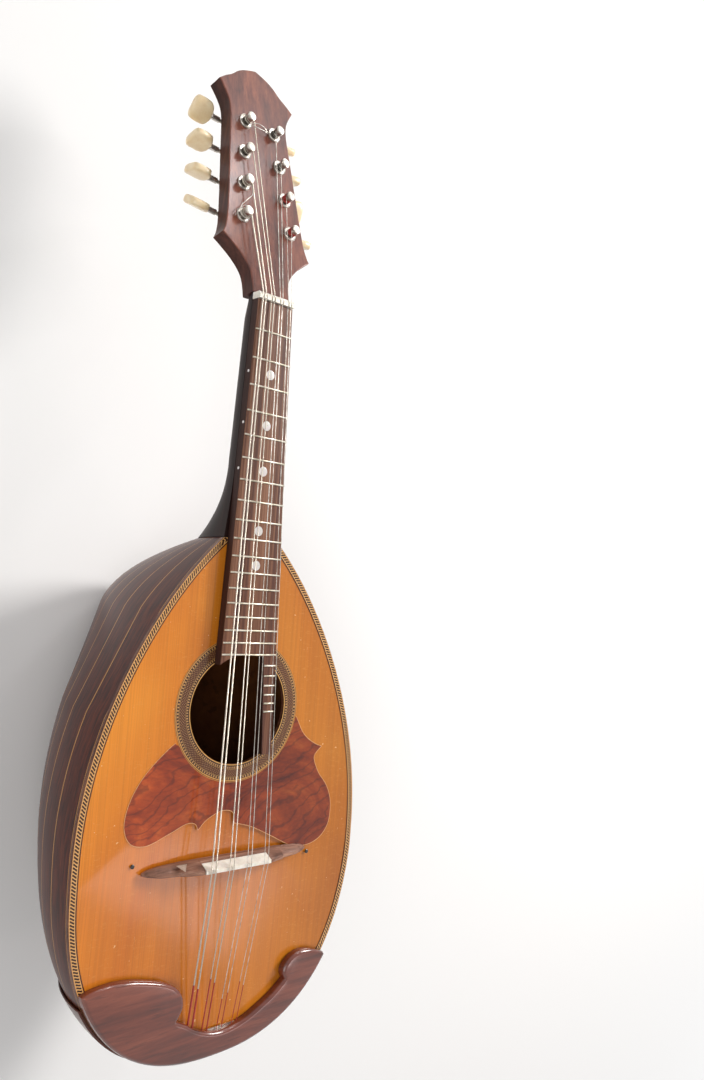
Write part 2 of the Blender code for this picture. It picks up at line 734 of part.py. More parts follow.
def buildPlates(finishes):
    # A back plate for each row, with its bushings, their collars and the ears of the worm shafts
    top = -headThickness - gap
    low = top - plateThickness
    between = postPitch * sqrt(1 + postTaper ** 2)
    half = plateHalfWidth
    outline = []
    for y, turn in ((-plateBelowRow, pi), (3 * between + plateAboveRow, 0)):
        for k in range(5):
            a = turn + pi * k / 4
            outline.append((half * cos(a), y + 0.45 * half * sin(a)))
    plate = loft([[Vector((x, y, z)) for x, y in outline] for z in (low, top)])
    joins = []
    cuts = []
    for step in range(4):
        y = step * between
        centre = Matrix.Translation((0, y, 0))
        bushing = turned([(bushingRadius, low + plateThickness / 2), (bushingRadius, gap), (collarRadius, gap),
                          (collarRadius - 0.0004, gap + collarHeight)], 12)
        joins.append((moved(bushing, centre), "UNION"))
        bore = postRadius + runningGap + 0.0001
        drill = turned([(bore, 2 * low), (bore, headThickness)], 12)
        cuts.append((moved(drill, centre), "DIFFERENCE"))
        profile = [(-earHalfWidth, low + 0.7 * plateThickness)]
        for k in range(5):
            a = pi + pi * k / 4
            profile.append((earHalfWidth * cos(a), -axisBelowFace + earHalfWidth * sin(a)))
        profile.append((earHalfWidth, low + 0.7 * plateThickness))
        for side in (-1, 1):
            ends = (side * earOffset, side * (earOffset + earThickness))
            ear = loft([[Vector((x, y + centres + u, z)) for u, z in profile] for x in ends])
            joins.append((ear, "UNION"))
        reach = earOffset + 2 * earThickness
        hole = turned([(shaftRadius + runningGap, -reach), (shaftRadius + runningGap, reach)], 8)
        across = Matrix.Translation((0, y + centres, -axisBelowFace)) @ Matrix.Rotation(pi / 2, 4, "Y")
        cuts.append((moved(hole, across), "DIFFERENCE"))
    for name, first in (("bass_tuner_plate", 0), ("treble_tuner_plate", 4)):
        shape = combine(plate.copy(), [(tool.copy(), operation) for tool, operation in joins + cuts])
        addObject(name, meshFrom(moved(shape, postFrame(first))), finishes["nickel"])


def wheelOutline():
    # Straight-flanked teeth, one of them centred on +Y
    outer = wheelPitchRadius + wheelModule
    root = wheelPitchRadius - 1.15 * wheelModule
    toothAngle = (pi * wheelModule - backlash) / 2 / wheelPitchRadius
    points = []
    for k in range(wheelTeeth):
        middle = pi / 2 + 2 * pi * k / wheelTeeth
        for radius, part in ((root, -0.80), (outer, -0.28), (outer, 0.28), (root, 0.80)):
            points.append((radius, middle + part * toothAngle))
    return points


def buildPosts(finishes):
    lead = pi * wheelModule
    twist = lead / (2 * pi * wormPitchRadius) * (wheelThickness / 2) / wheelPitchRadius
    rings = []
    for z, turn in ((-wheelThickness / 2, -twist), (wheelThickness / 2, twist)):
        rings.append([Vector((r * cos(a + turn), r * sin(a + turn), z)) for r, a in wheelOutline()])
    face = axisBelowFace
    cap = face + postHeight
    shaft = turned([(postRadius * 0.62, -wheelThickness * 0.69), (postRadius * 0.73, 0), (postRadius, 0),
                    (postRadius, face + gap + collarHeight + runningGap), (waistRadius, face + 2 * collarHeight),
                    (waistRadius, cap - 0.0014), (capRadius, cap - 0.0011),
                    (capRadius, cap - 0.0004), (capRadius - 0.0005, cap)], 12)
    mesh = meshFrom(combine(loft(rings), [(shaft, "UNION")]))
    for number in range(8):
        thing = addObject("string_post_%d" % (number + 1), mesh, finishes["nickel"])
        thing.matrix_world = postFrame(number) @ Matrix.Translation((0, 0, -axisBelowFace))


def wormShape():
    # A single right-hand thread, wound on a shaft that passes both ears to the button
    # The gap between two of its turns faces the wheel, on -Y, at the middle
    lead = pi * wheelModule
    crest = wormPitchRadius + wheelModule * 0.85
    core = wormPitchRadius - wheelModule * 1.1
    wide = (lead - backlash) / 2
    sides = 10
    steps = int(wormTurns * sides)
    shape = bmesh.new()
    thread = []
    for k in range(steps + 1):
        a = 2 * pi * (k - steps / 2) / sides
        row = []
        for across, radius in ((-0.80, core), (-0.28, crest), (0.28, crest), (0.80, core)):
            x = lead * a / (2 * pi) + across * wide
            row.append(shape.verts.new((x, radius * cos(a), radius * sin(a))))
        thread.append(row)
    for k in range(steps):
        here, ahead = thread[k], thread[k + 1]
        for j in range(3):
            shape.faces.new((here[j], here[j + 1], ahead[j + 1], ahead[j]))
        if k + 1 + sides <= steps:
            shape.faces.new((here[3], thread[k + sides][0], thread[k + 1 + sides][0], ahead[3]))
    shape.faces.new(thread[0])
    shape.faces.new(thread[-1])
    # Each end of the thread's root closes onto the stepped shaft
    half = lead * (wormTurns / 2 + 0.40)
    inner = -earOffset - earThickness - shaftPastEar
    tip = buttonStart + buttonSocket - gap
    inward = ((shaftRadius, -half), (shaftRadius, inner))
    outward = ((shaftRadius, half), (shaftRadius, shaftStep), (shaftNeckRadius, shaftStep + 0.0006),
               (shaftNeckRadius, buttonStart - gap), (shaftRadius, buttonStart - gap), (shaftRadius, tip))
    for first, edge, profile in ((0, 0, inward), (steps - sides, 3, outward)):
        rows = []
        for radius, x in profile:
            row = []
            for k in range(sides):
                a = 2 * pi * (first + k - steps / 2) / sides
                row.append(shape.verts.new((x, radius * cos(a), radius * sin(a))))
            rows.append(row)
        ring = [thread[first + k][edge] for k in range(sides)]
        for k in range(sides - 1):
            shape.faces.new((ring[k], ring[k + 1], rows[0][k + 1], rows[0][k]))
        last = thread[first + sides][edge]
        shape.faces.new((ring[-1], last, rows[0][0], rows[0][-1]))
        # The thread's cut end is crossed by two triangles
        step = thread[0][3] if edge == 0 else thread[-1][0]
        for near, far in ((last, step), (step, ring[0])):
            shape.faces.new((near, far, rows[0][0]))
        for low, high in zip(rows, rows[1:]):
            for k in range(sides):
                nxt = (k + 1) % sides
                shape.faces.new((low[k], low[nxt], high[nxt], high[k]))
        shape.faces.new(rows[-1])
    bmesh.ops.triangulate(shape, faces=[f for f in shape.faces if len(f.verts) == 4])
    return meshFrom(moved(shape, Matrix.Translation((0, centres, 0))))


def buttonShape():
    sides = 12
    marks = ((0.0, 0.46, 0.82), (0.10, 0.78, 1.0), (0.32, 0.98, 1.0), (0.74, 1.0, 1.0), (0.95, 0.80, 0.88),
             (1.0, 0.60, 0.62))
    rings = []
    for reach, wide, thick in marks:
        ring = []
        for k in range(sides):
            a = 2 * pi * k / sides
            u, v = cos(a), sin(a)
            u, v = (copysign(abs(value) ** 0.55, value) for value in (u, v))
            ring.append(Vector((buttonStart + reach * buttonLength, buttonHalfWidth * wide * u,
                                buttonHalfThickness * thick * v)))
        rings.append(ring)
    bore = turned([(shaftRadius + gap, buttonStart - 0.002), (shaftRadius + gap, buttonStart + buttonSocket)], 8)
    return combine(loft(rings), [(moved(bore, Matrix.Rotation(pi / 2, 4, "Y")), "DIFFERENCE")])


def buildWormsAndButtons(finishes):
    worm = wormShape()
    button = meshFrom(buttonShape())
    for number in range(8):
        frame = machineFrame(number)
        shaft = addObject("worm_shaft_%d" % (number + 1), worm, finishes["nickel"])
        shaft.matrix_world = frame
        turn = Matrix.Rotation(radians(buttonTurns[number]), 4, "X")
        knob = addObject("button_%d" % (number + 1), button, finishes["button"])
        knob.matrix_world = frame @ Matrix.Translation((0, centres, 0)) @ turn


# Strings

def postOfString(number):
    # The outer string of each half goes to the post nearest the nut
    return number if number < 4 else 11 - number


def stringRoute(number):
    atNut, atSaddle, atTail, radius = stringStations(number)
    route = [place(atTail, hookFromNut - hookRadius - gap - 0.0004, hookHeight - 0.0012 - radius)]
    crest = bridgeHeight + saddleRise + gap + radius
    crestBack = place(atSaddle, saddleFromNut + 0.0024, crest)
    over = place(atSaddle, saddleFromNut + 0.0004, crest + 0.00005)
    atNutHeight = boardHeight + stringAtNut
    nutFront = place(atNut, 0.0, atNutHeight)
    nutBack = place(atNut, -nutLength - gap, atNutHeight)
    route += [crestBack, over]
    route += [nutFront, nutBack]
    head = headMatrix()
    toHead = head.inverted()
    start = toHead @ nutBack
    side, x, s = postPlace(postOfString(number))
    wound = waistRadius + runningGap + radius
    away = Vector((start.x - x, start.y - s))
    facing = atan2(away.y, away.x)
    opening = acos(wound / away.length)
    first = facing + opening if side < 0 else facing - opening
    top = postHeight - 0.0017 - radius
    tangent = Vector((x + wound * cos(first), s + wound * sin(first), top))
    pitch = min((top - gap - collarHeight - gap - radius) / stringTurns, 2 * radius + 0.00075)
    steps = int(stringTurns * pointsPerTurn)
    for k in range(steps + 1):
        turns = k / pointsPerTurn
        a = first - side * 2 * pi * turns
        route.append(head @ Vector((x + wound * cos(a), s + wound * sin(a), top - pitch * turns)))
    return route, radius, pitch


def buildStrings(finishes):
    names = ("g_string_1", "g_string_2", "d_string_1", "d_string_2",
             "a_string_1", "a_string_2", "e_string_1", "e_string_2")
    for number, name in enumerate(names):
        route, radius, pitch = stringRoute(number)
        curve = bpy.data.curves.new(name, "CURVE")
        curve.dimensions = "3D"
        curve.bevel_depth = radius
        curve.bevel_resolution = 1
        curve.use_fill_caps = True
        spline = curve.splines.new("POLY")
        spline.points.add(len(route) - 1)
        for point, spot in zip(spline.points, route):
            point.co = (*spot, 1)
        thing = bpy.data.objects.new(name, curve)
        bpy.context.scene.collection.objects.link(thing)
        curve.materials.append(finishes["wound"] if number < 4 else finishes["steel"])
        least = leastGap(route[-int(stringTurns * pointsPerTurn) - 1:], radius)
        length = sum((b - a).length for a, b in zip(route, route[1:]))
        print("%s: %.1f mm long, least gap of its winding %.2f mm" % (name, length * 1000, least * 1000))


def leastGap(points, radius):
    # Least distance between turns of a winding, less the string's own thickness
    least = 1.0
    for i, here in enumerate(points):
        for there in points[i + pointsPerTurn // 2:]:
            least = min(least, (here - there).length - 2 * radius)
    return least


def main():
    for thing in list(bpy.data.objects):
        bpy.data.objects.remove(thing)
    finishes = {
        "soundboard": finish("amber_spruce", (0.66, 0.27, 0.055), 0.28),
        "binding": finish("rope_purfling", (0.30, 0.16, 0.08), 0.35),
        "rosette": finish("mosaic_ring", (0.16, 0.12, 0.07), 0.35),
        "guard": finish("burl_rosewood", (0.24, 0.05, 0.015), 0.25),
        "rib": finish("dark_rosewood", (0.075, 0.028, 0.016), 0.25),
        "block": finish("pine", (0.62, 0.44, 0.25), 0.6),
        "neck": finish("dark_mahogany", (0.10, 0.035, 0.018), 0.3),
        "fingerboard": finish("streaked_rosewood", (0.15, 0.06, 0.038), 0.4),
        "head": finish("red_rosewood", (0.20, 0.07, 0.045), 0.25),
        "cover": finish("glossy_rosewood", (0.16, 0.045, 0.022), 0.18),
        "bridge": finish("grey_rosewood", (0.085, 0.055, 0.045), 0.45),
        "bone": finish("bone", (0.86, 0.84, 0.76), 0.35),
        "nickel": finish("nickel", (0.72, 0.70, 0.66), 0.25, 1.0),
        "button": finish("cream_plastic", (0.80, 0.68, 0.42), 0.35),
        "wound": finish("wound_string", (0.62, 0.55, 0.46), 0.35, 1.0),
        "steel": finish("plain_steel", (0.75, 0.74, 0.72), 0.25, 1.0),
    }
    buildSoundboard(finishes)
    buildBinding(finishes)
    buildRosette(finishes)
    buildGuard(finishes)
    buildRibs(finishes)
    buildBlocks(finishes)
    buildClasp(finishes)
    buildBraces(finishes)
    buildNeck(finishes)
    buildFingerboard(finishes)
    buildNut(finishes)
    buildBridge(finishes)
    buildCover(finishes)
    buildTailpiece(finishes)
    buildHead(finishes)
    buildPlates(finishes)
    buildPosts(finishes)
    buildWormsAndButtons(finishes)
    buildStrings(finishes)


main()
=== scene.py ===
from math import atan2, cos, pi, radians, sin, sqrt, tan

import bmesh
import bpy
from mathutils import Matrix, Vector


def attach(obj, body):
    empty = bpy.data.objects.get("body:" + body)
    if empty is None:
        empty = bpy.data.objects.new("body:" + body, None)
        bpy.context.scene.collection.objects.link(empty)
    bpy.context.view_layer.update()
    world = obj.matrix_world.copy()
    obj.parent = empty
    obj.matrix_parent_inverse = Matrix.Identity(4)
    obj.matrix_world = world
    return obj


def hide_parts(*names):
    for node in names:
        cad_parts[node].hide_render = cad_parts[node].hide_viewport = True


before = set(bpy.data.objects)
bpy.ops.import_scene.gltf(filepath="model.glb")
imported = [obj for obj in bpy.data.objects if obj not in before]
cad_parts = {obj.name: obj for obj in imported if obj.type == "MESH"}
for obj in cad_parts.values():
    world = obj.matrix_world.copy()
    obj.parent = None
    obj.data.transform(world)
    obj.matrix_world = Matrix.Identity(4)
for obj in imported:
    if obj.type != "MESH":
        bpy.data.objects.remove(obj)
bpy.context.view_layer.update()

root = "instrument"  # the body that everything but the machines rides on

# Sizes in metres, as the solids have them. A place on the instrument is x, towards the treble
# side, and d, from the nut down to the tail.
body = {
    "stringLength": 0.335, "jointFret": 10, "gap": 0.0003,
    "restFromNut": 0.222, "restFlat": 0.060, "restHalfAngle": radians(8),
    "widest": 0.330, "tail": 0.456, "halfWidth": 0.1024, "heelHalfWidth": 0.0210,
    "shoulderRound": 0.93, "shoulderPower": 8, "tailRound": 2.4,
    "depth": 0.142, "heelDepth": 0.048, "backRound": 0.90, "backPower": 5, "endRound": 2.15,
    "bend": 0.345, "cant": radians(3), "boardThickness": 0.0026, "ribThickness": 0.0024,
}
hole = {"d": 0.2498, "halfWidth": 0.0354, "halfLength": 0.0335, "sides": 96}
head = {
    "tilt": radians(12.6), "rise": 0.0012, "start": 0.0048, "thickness": 0.0110, "soft": 0.0006,
    "postHole": 0.0041,
}
posts = {
    "perSide": 4, "first": 0.0501, "pitch": 0.02313, "spread": 0.01895, "taper": 0.105,
    "height": 0.0075, "below": 0.0165,
}


def fretAt(number):
    return body["stringLength"] * (1 - 2 ** (-number / 12))


body["joint"] = fretAt(body["jointFret"])
body["restStart"] = body["restFromNut"] - body["restFlat"] / 2
body["restEnd"] = body["restFromNut"] + body["restFlat"] / 2


def levelAt(d):
    # Top of the board, which bends down behind the bridge
    return body["depth"] - max(0.0, d - body["bend"]) * tan(body["cant"])


def place(x, d, above=0.0):
    return Vector((x, body["restFromNut"] - d, levelAt(d) + above))


def widthAt(d):
    # Half the width of the body
    wide = body["halfWidth"]
    if d <= body["widest"]:
        s = (body["widest"] - d) / (body["widest"] - body["joint"])
        pulled = body["shoulderRound"] * s ** 2 + (1 - body["shoulderRound"]) * s ** body["shoulderPower"]
        return wide - (wide - body["heelHalfWidth"]) * pulled
    t = min(1.0, (d - body["widest"]) / (body["tail"] - body["widest"]))
    return wide * (1 - t ** body["tailRound"]) ** (1 / body["tailRound"])


def ribEdge(d):
    # Upper edge of the ribs, just under the board
    return levelAt(d) - body["boardThickness"] - body["gap"]


def bottomAt(d):
    # Lowest line of the bowl: up to the heel, flat where it lies, round at the tail
    if d < body["restStart"]:
        s = (body["restStart"] - d) / (body["restStart"] - body["joint"])
        raised = body["backRound"] * s ** 2 + (1 - body["backRound"]) * s ** body["backPower"]
        return (body["depth"] - body["heelDepth"]) * raised
    if d > body["restEnd"]:
        t = min(1.0, (d - body["restEnd"]) / (body["tail"] - body["restEnd"]))
        return ribEdge(d) * (1 - (1 - t ** body["endRound"]) ** (1 / body["endRound"]))
    return 0.0


def bowlPoint(d, angle, inward):
    wide = widthAt(d) - inward
    deep = ribEdge(d) - bottomAt(d) - inward
    drop = deep * min(1.0, sin(angle) / cos(body["restHalfAngle"]))
    return Vector((wide * cos(angle), body["restFromNut"] - d, ribEdge(d) - drop))


def moved(*spot):
    return Matrix.Translation(spot)


def spun(angle, axis):
    return Matrix.Rotation(angle, 4, axis)


def headMatrix():
    return moved(*place(0, -head["start"], head["rise"])) @ spun(-head["tilt"], "X")


def postFrame(number):
    # Posts 0 to 3 stand on the bass side, 4 to 7 on the treble side
    side = -1 if number < posts["perSide"] else 1
    s = posts["first"] + (number % posts["perSide"]) * posts["pitch"]
    x = side * (posts["spread"] - posts["taper"] * (s - posts["first"]))
    return headMatrix() @ moved(x, s, 0) @ spun(side * atan2(posts["taper"], 1), "Z")


def machineFrame(number):
    half = spun(pi, "Y") if number < posts["perSide"] else Matrix.Identity(4)
    return postFrame(number) @ moved(0, 0, -posts["below"]) @ half


# Shader helpers

def linear(text):
    # A tone written as the screen shows it, in the linear values that shaders take
    values = [int(text[k:k + 2], 16) / 255 for k in (0, 2, 4)]
    return tuple(v / 12.92 if v <= 0.04045 else ((v + 0.055) / 1.055) ** 2.4 for v in values) + (1.0,)


def shade(tree, kind, values=None, pick=0, **settings):
    made = tree.nodes.new("ShaderNode" + kind)
    for key, value in settings.items():
        setattr(made, key, value)
    for key, value in (values or {}).items():
        if isinstance(value, bpy.types.NodeSocket):
            tree.links.new(value, made.inputs[key])
        else:
            made.inputs[key].default_value = value
    return made.outputs[pick]


def startMaterial(name, roughness, metallic=0.0, coat=0.0, coatRoughness=0.08, specular=0.5):
    made = bpy.data.materials.new(name)
    made.use_nodes = True
    shader = made.node_tree.nodes["Principled BSDF"]
    shader.inputs["Roughness"].default_value = roughness
    shader.inputs["Metallic"].default_value = metallic
    shader.inputs["Coat Weight"].default_value = coat
    shader.inputs["Coat Roughness"].default_value = coatRoughness
    shader.inputs["Specular IOR Level"].default_value = specular
    return made, made.node_tree, shader


def ramp(tree, factor, stops, interpolation="LINEAR"):
    made = tree.nodes.new("ShaderNodeValToRGB")
    tree.links.new(factor, made.inputs[0])
    made.color_ramp.interpolation = interpolation
    elements = made.color_ramp.elements
    while len(elements) < len(stops):
        elements.new(0.5)
    for element, (position, colour) in zip(elements, stops):
        element.position = position
        element.color = linear(colour) if isinstance(colour, str) else (colour, colour, colour, 1)
    return made.outputs[0]


def maths(tree, operation, a, b=0.0, c=0.0):
    return shade(tree, "Math", {0: a, 1: b, 2: c}, operation=operation)


def plus(tree, a, b):
    return maths(tree, "ADD", a, b)


def times(tree, a, b):
    return maths(tree, "MULTIPLY", a, b)


def below(tree, a, b):
    return maths(tree, "LESS_THAN", a, b)


def above(tree, a, b):
    return maths(tree, "GREATER_THAN", a, b)


def repeats(tree, value, length):
    return maths(tree, "FRACT", maths(tree, "DIVIDE", value, length))


def mixColour(tree, factor, a, b, blend="MIX"):
    made = tree.nodes.new("ShaderNodeMix")
    made.data_type = "RGBA"
    made.blend_type = blend
    for index, value in ((0, factor), (6, a), (7, b)):
        if isinstance(value, bpy.types.NodeSocket):
            tree.links.new(value, made.inputs[index])
        else:
            made.inputs[index].default_value = linear(value) if isinstance(value, str) else value
    return made.outputs[2]


def objectSpot(tree, scale=(1, 1, 1), turn=(0, 0, 0)):
    values = {"Vector": shade(tree, "TexCoord", pick=3), "Scale": scale, "Rotation": turn}
    return shade(tree, "Mapping", values)


def splitUp(tree, vector):
    split = tree.nodes.new("ShaderNodeSeparateXYZ")
    tree.links.new(vector, split.inputs[0])
    return split.outputs


def paintedSideShade(tree, spread, stops):
    # Painted shade: a tone that darkens from the bass side to the treble side, as less light falls there
    x = splitUp(tree, shade(tree, "TexCoord", pick=3))[0]
    return ramp(tree, plus(tree, times(tree, x, spread), 0.5), stops)


def noiseAt(tree, where, detail=4.0, rough=0.55, distortion=0.0, scale=1.0):
    values = {"Vector": where, "Scale": scale, "Detail": detail, "Roughness": rough, "Distortion": distortion}
    return shade(tree, "TexNoise", values)


def bump(tree, shader, height, strength):
    values = {"Height": height, "Strength": strength, "Distance": 0.0002}
    tree.links.new(shade(tree, "Bump", values), shader.inputs["Normal"])


def paint(tree, shader, colour):
    tree.links.new(colour, shader.inputs["Base Color"])


# Mesh helpers

def solid(name, shape, materials, smoothBelow=30, replaced=(), ridesOn=root):
    bmesh.ops.recalc_face_normals(shape, faces=shape.faces)
    mesh = bpy.data.meshes.new(name)
    shape.to_mesh(mesh)
    shape.free()
    mesh.shade_smooth()
    mesh.set_sharp_from_angle(angle=radians(smoothBelow))
    for each in (materials if isinstance(materials, list) else [materials]):
        mesh.materials.append(each)
    piece = bpy.data.objects.new(name, mesh)
    bpy.context.scene.collection.objects.link(piece)
    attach(piece, ridesOn)
    if replaced:
        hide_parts(*replaced)


def joinRows(shape, low, high, material=0, closed=True):
    for k in range(len(low) if closed else len(low) - 1):
        nxt = (k + 1) % len(low)
        shape.faces.new((low[k], low[nxt], high[nxt], high[k])).material_index = material


def loft(rings, capped=True, shape=None):
    shape = shape or bmesh.new()
    rows = [[shape.verts.new(p) for p in ring] for ring in rings]
    for low, high in zip(rows, rows[1:]):
        joinRows(shape, low, high)
    if capped:
        shape.faces.new(list(reversed(rows[0])))
        shape.faces.new(rows[-1])
    return shape


def turned(profile, sides, matrix, shape=None, capped=True):
    # Turned on the lathe: a profile of radius and height
    rings = []
    for radius, height in profile:
        angles = [2 * pi * k / sides for k in range(sides)]
        rings.append([matrix @ Vector((radius * cos(a), radius * sin(a), height)) for a in angles])
    return loft(rings, capped, shape)


def curveThrough(points, steps):
    # A smooth curve through all the points
    ends = [points[0]] + list(points) + [points[-1]]
    result = []
    for k in range(1, len(ends) - 2):
        p0, p1, p2, p3 = (Vector(ends[k + j]) for j in (-1, 0, 1, 2))
        for step in range(steps):
            t = step / steps
            a = 2 * p1 + (p2 - p0) * t
            b = (2 * p0 - 5 * p1 + 4 * p2 - p3) * t ** 2
            c = (3 * p1 - p0 - 3 * p2 + p3) * t ** 3
            result.append(tuple((a + b + c) / 2))
    result.append(tuple(points[-1]))
    return result


def offset(outline, distance, limit=2.0):
    # Outwards for a positive distance, with sharp corners held back by the limit
    area = sum(a[0] * b[1] - b[0] * a[1] for a, b in zip(outline, outline[1:] + outline[:1]))
    turn = 1 if area > 0 else -1
    result = []
    for k, here in enumerate(outline):
        before = Vector(here) - Vector(outline[k - 1])
        after = Vector(outline[(k + 1) % len(outline)]) - Vector(here)
        n1 = Vector((before.y, -before.x)).normalized() * turn
        n2 = Vector((after.y, -after.x)).normalized() * turn
        mean = (n1 + n2).normalized()
        stretch = min(limit, 1 / max(0.2, mean.dot(n1)))
        result.append(tuple(Vector(here) + mean * distance * stretch))
    return result


def fillLoops(shape, loops, material=0):
    # One flat face between the outer loop and any inner loops
    edges = []
    for verts in loops:
        for k, vert in enumerate(verts):
            pair = (vert, verts[(k + 1) % len(verts)])
            edges.append(shape.edges.get(pair) or shape.edges.new(pair))
    made = bmesh.ops.triangle_fill(shape, use_beauty=True, use_dissolve=False, edges=edges)
    for item in made["geom"]:
        if isinstance(item, bmesh.types.BMFace):
            item.material_index = material


def laid(shape, outline, height):
    return [shape.verts.new(place(x, d, height)) for x, d in outline]


def slab(loops, low, high, sideMaterial=0):
    # Closed plate on the board, with holes
    shape = bmesh.new()
    fillLoops(shape, [laid(shape, loop, high) for loop in loops])
    fillLoops(shape, [laid(shape, loop, low) for loop in loops], sideMaterial)
    for loop in loops:
        joinRows(shape, laid(shape, loop, low), laid(shape, loop, high), sideMaterial)
    bmesh.ops.remove_doubles(shape, verts=shape.verts, dist=1e-6)
    return shape


def bodyOutline(steps=60):
    joint, widest, tail = body["joint"], body["widest"], body["tail"]
    upper = [joint + (widest - joint) * k / steps for k in range(steps)]
    lower = [widest + (tail - widest) * sin(pi / 2 * k / steps) for k in range(steps)]
    treble = [(widthAt(d), d) for d in upper + lower]
    return treble + [(0.0, tail)] + [(-x, d) for x, d in reversed(treble)]


def rimLine(distance):
    # The body's outline moved in or out, with its ends kept on the neck joint
    outline = bodyOutline()
    (x0, d0), (x1, d1) = outline[:2]
    ahead = (2 * x0 - x1, 2 * d0 - d1)
    line = offset([ahead] + outline + [(-ahead[0], ahead[1])], distance)[1:-1]
    slope = (x1 - x0) / (d1 - d0)
    for k, side in ((0, 1), (-1, -1)):
        x, d = line[k]
        line[k] = (x + side * slope * (body["joint"] - d), body["joint"])
    return line


def onHole(angle, grow):
    return ((hole["halfWidth"] + grow) * cos(angle), hole["d"] + (hole["halfLength"] + grow) * sin(angle))


def ellipse(grow):
    return [onHole(2 * pi * k / hole["sides"], grow) for k in range(hole["sides"])]


# Materials

# The treble side's share of tone is painted shade, for the weaker light on that side
spruce = {
    "tones": [(0.30, "c46a16"), (0.50, "d87e1c"), (0.72, "e69029")], "trebleShade": 0.68,
    "flecks": "e0a050", "bare": "efc78c",
}


def spruceMaterial():
    made, tree, shader = startMaterial("amberSpruce", 0.36, coat=0.6, coatRoughness=0.12, specular=0.15)
    lines = noiseAt(tree, objectSpot(tree, (1700, 7, 40)), 2.0, 0.5)
    broad = noiseAt(tree, objectSpot(tree, (160, 3, 9)), 3.0, 0.6, 0.2)
    cloud = noiseAt(tree, objectSpot(tree, (9, 5, 9)), 3.0, 0.6, 0.4)
    silk = noiseAt(tree, objectSpot(tree, (260, 900, 60)), 3.0, 0.7, 0.6)
    colour = ramp(tree, cloud, spruce["tones"])
    # Painted shade: the treble side is made darker than the bass side, as less light falls there
    sideShade = paintedSideShade(tree, 5.0, [(0.1, 1.0), (0.95, spruce["trebleShade"])])
    colour = mixColour(tree, 1.0, colour, sideShade, "MULTIPLY")
    grain = ramp(tree, lines, [(0.34, 0.84), (0.52, 0.99), (0.70, 1.05)])
    colour = mixColour(tree, 0.7, colour, grain, "MULTIPLY")
    colour = mixColour(tree, 0.5, colour, ramp(tree, broad, [(0.38, 0.88), (0.56, 1.0)]), "MULTIPLY")
    flecks = ramp(tree, silk, [(0.56, 0.0), (0.72, 1.0)])
    colour = mixColour(tree, times(tree, flecks, 0.22), colour, spruce["flecks"])
    # Bare scratches and dots where hands and picks have worn the varnish
    scratch = noiseAt(tree, objectSpot(tree, (700, 30, 30), (0, 0, 1.1)), 5.0, 0.8)
    dots = noiseAt(tree, objectSpot(tree, (420, 420, 420)), 2.0, 0.5)
    scratch = ramp(tree, scratch, [(0.70, 0.0), (0.73, 0.6)])
    worn = plus(tree, scratch, ramp(tree, dots, [(0.745, 0.0), (0.77, 0.8)]))
    paint(tree, shader, mixColour(tree, worn, colour, spruce["bare"]))
    bump(tree, shader, lines, 0.10)
    return made


def darkWood(name, tones, scale, roughness, coat=0.6, pores=0.5, coatRoughness=0.1):
    made, tree, shader = startMaterial(name, roughness, coat=coat, coatRoughness=coatRoughness, specular=0.2)
    broad = noiseAt(tree, objectSpot(tree, tuple(v * 0.12 for v in scale)), 4.0, 0.6, 1.2)
    fine = noiseAt(tree, objectSpot(tree, scale), 5.0, 0.65, 0.3)
    blend = plus(tree, times(tree, broad, 0.6), times(tree, fine, 0.4))
    colour = ramp(tree, blend, list(zip((0.36, 0.50, 0.66), tones)))
    openPores = noiseAt(tree, objectSpot(tree, tuple(v * 3.2 for v in scale)), 2.0)
    openPores = ramp(tree, openPores, [(0.60, 0.0), (0.68, 1.0)])
    paint(tree, shader, mixColour(tree, times(tree, openPores, pores), colour, tones[0]))
    bump(tree, shader, fine, 0.08)
    return made


# The treble side's share of tone is painted shade, as on the board
burl = {
    "tones": [(0.30, "601c0a"), (0.46, "90340d"), (0.58, "ab4514"), (0.72, "c25f24")], "vein": "3c120a",
    "trebleShade": 0.60,
}


def burlMaterial():
    made, tree, shader = startMaterial("burlRosewood", 0.30, coat=0.6, coatRoughness=0.1, specular=0.15)
    swirl = noiseAt(tree, objectSpot(tree, (15, 24, 15), (0, 0, 0.5)), 6.0, 0.62, 2.2)
    fine = noiseAt(tree, objectSpot(tree, (90, 300, 90), (0, 0, -0.9)), 4.0, 0.6, 1.6)
    veins = shade(tree, "TexWave", {"Vector": objectSpot(tree, (30, 46, 30), (0, 0, 0.9)), "Scale": 1.0,
                                    "Distortion": 14.0, "Detail": 4.0, "Detail Scale": 0.9}, pick=1)
    colour = ramp(tree, swirl, burl["tones"])
    grain = ramp(tree, fine, [(0.36, 0.78), (0.52, 1.0), (0.68, 1.12)])
    colour = mixColour(tree, 0.8, colour, grain, "MULTIPLY")
    dark = ramp(tree, veins, [(0.0, 1.0), (0.12, 0.0)])
    colour = mixColour(tree, times(tree, dark, 0.45), colour, burl["vein"])
    # Painted shade: darker towards the treble side, where less light falls
    sideShade = paintedSideShade(tree, 6.0, [(0.1, 1.0), (0.75, burl["trebleShade"])])
    paint(tree, shader, mixColour(tree, 1.0, colour, sideShade, "MULTIPLY"))
    return made


def metalMaterial(name, bright, dull, roughness):
    made, tree, shader = startMaterial(name, roughness, metallic=1.0)
    patch = noiseAt(tree, objectSpot(tree, (180, 180, 180)), 5.0, 0.7)
    paint(tree, shader, ramp(tree, patch, [(0.38, dull), (0.58, bright)]))
    rough = ramp(tree, patch, [(0.3, roughness + 0.22), (0.6, roughness)])
    tree.links.new(rough, shader.inputs["Roughness"])
    return made


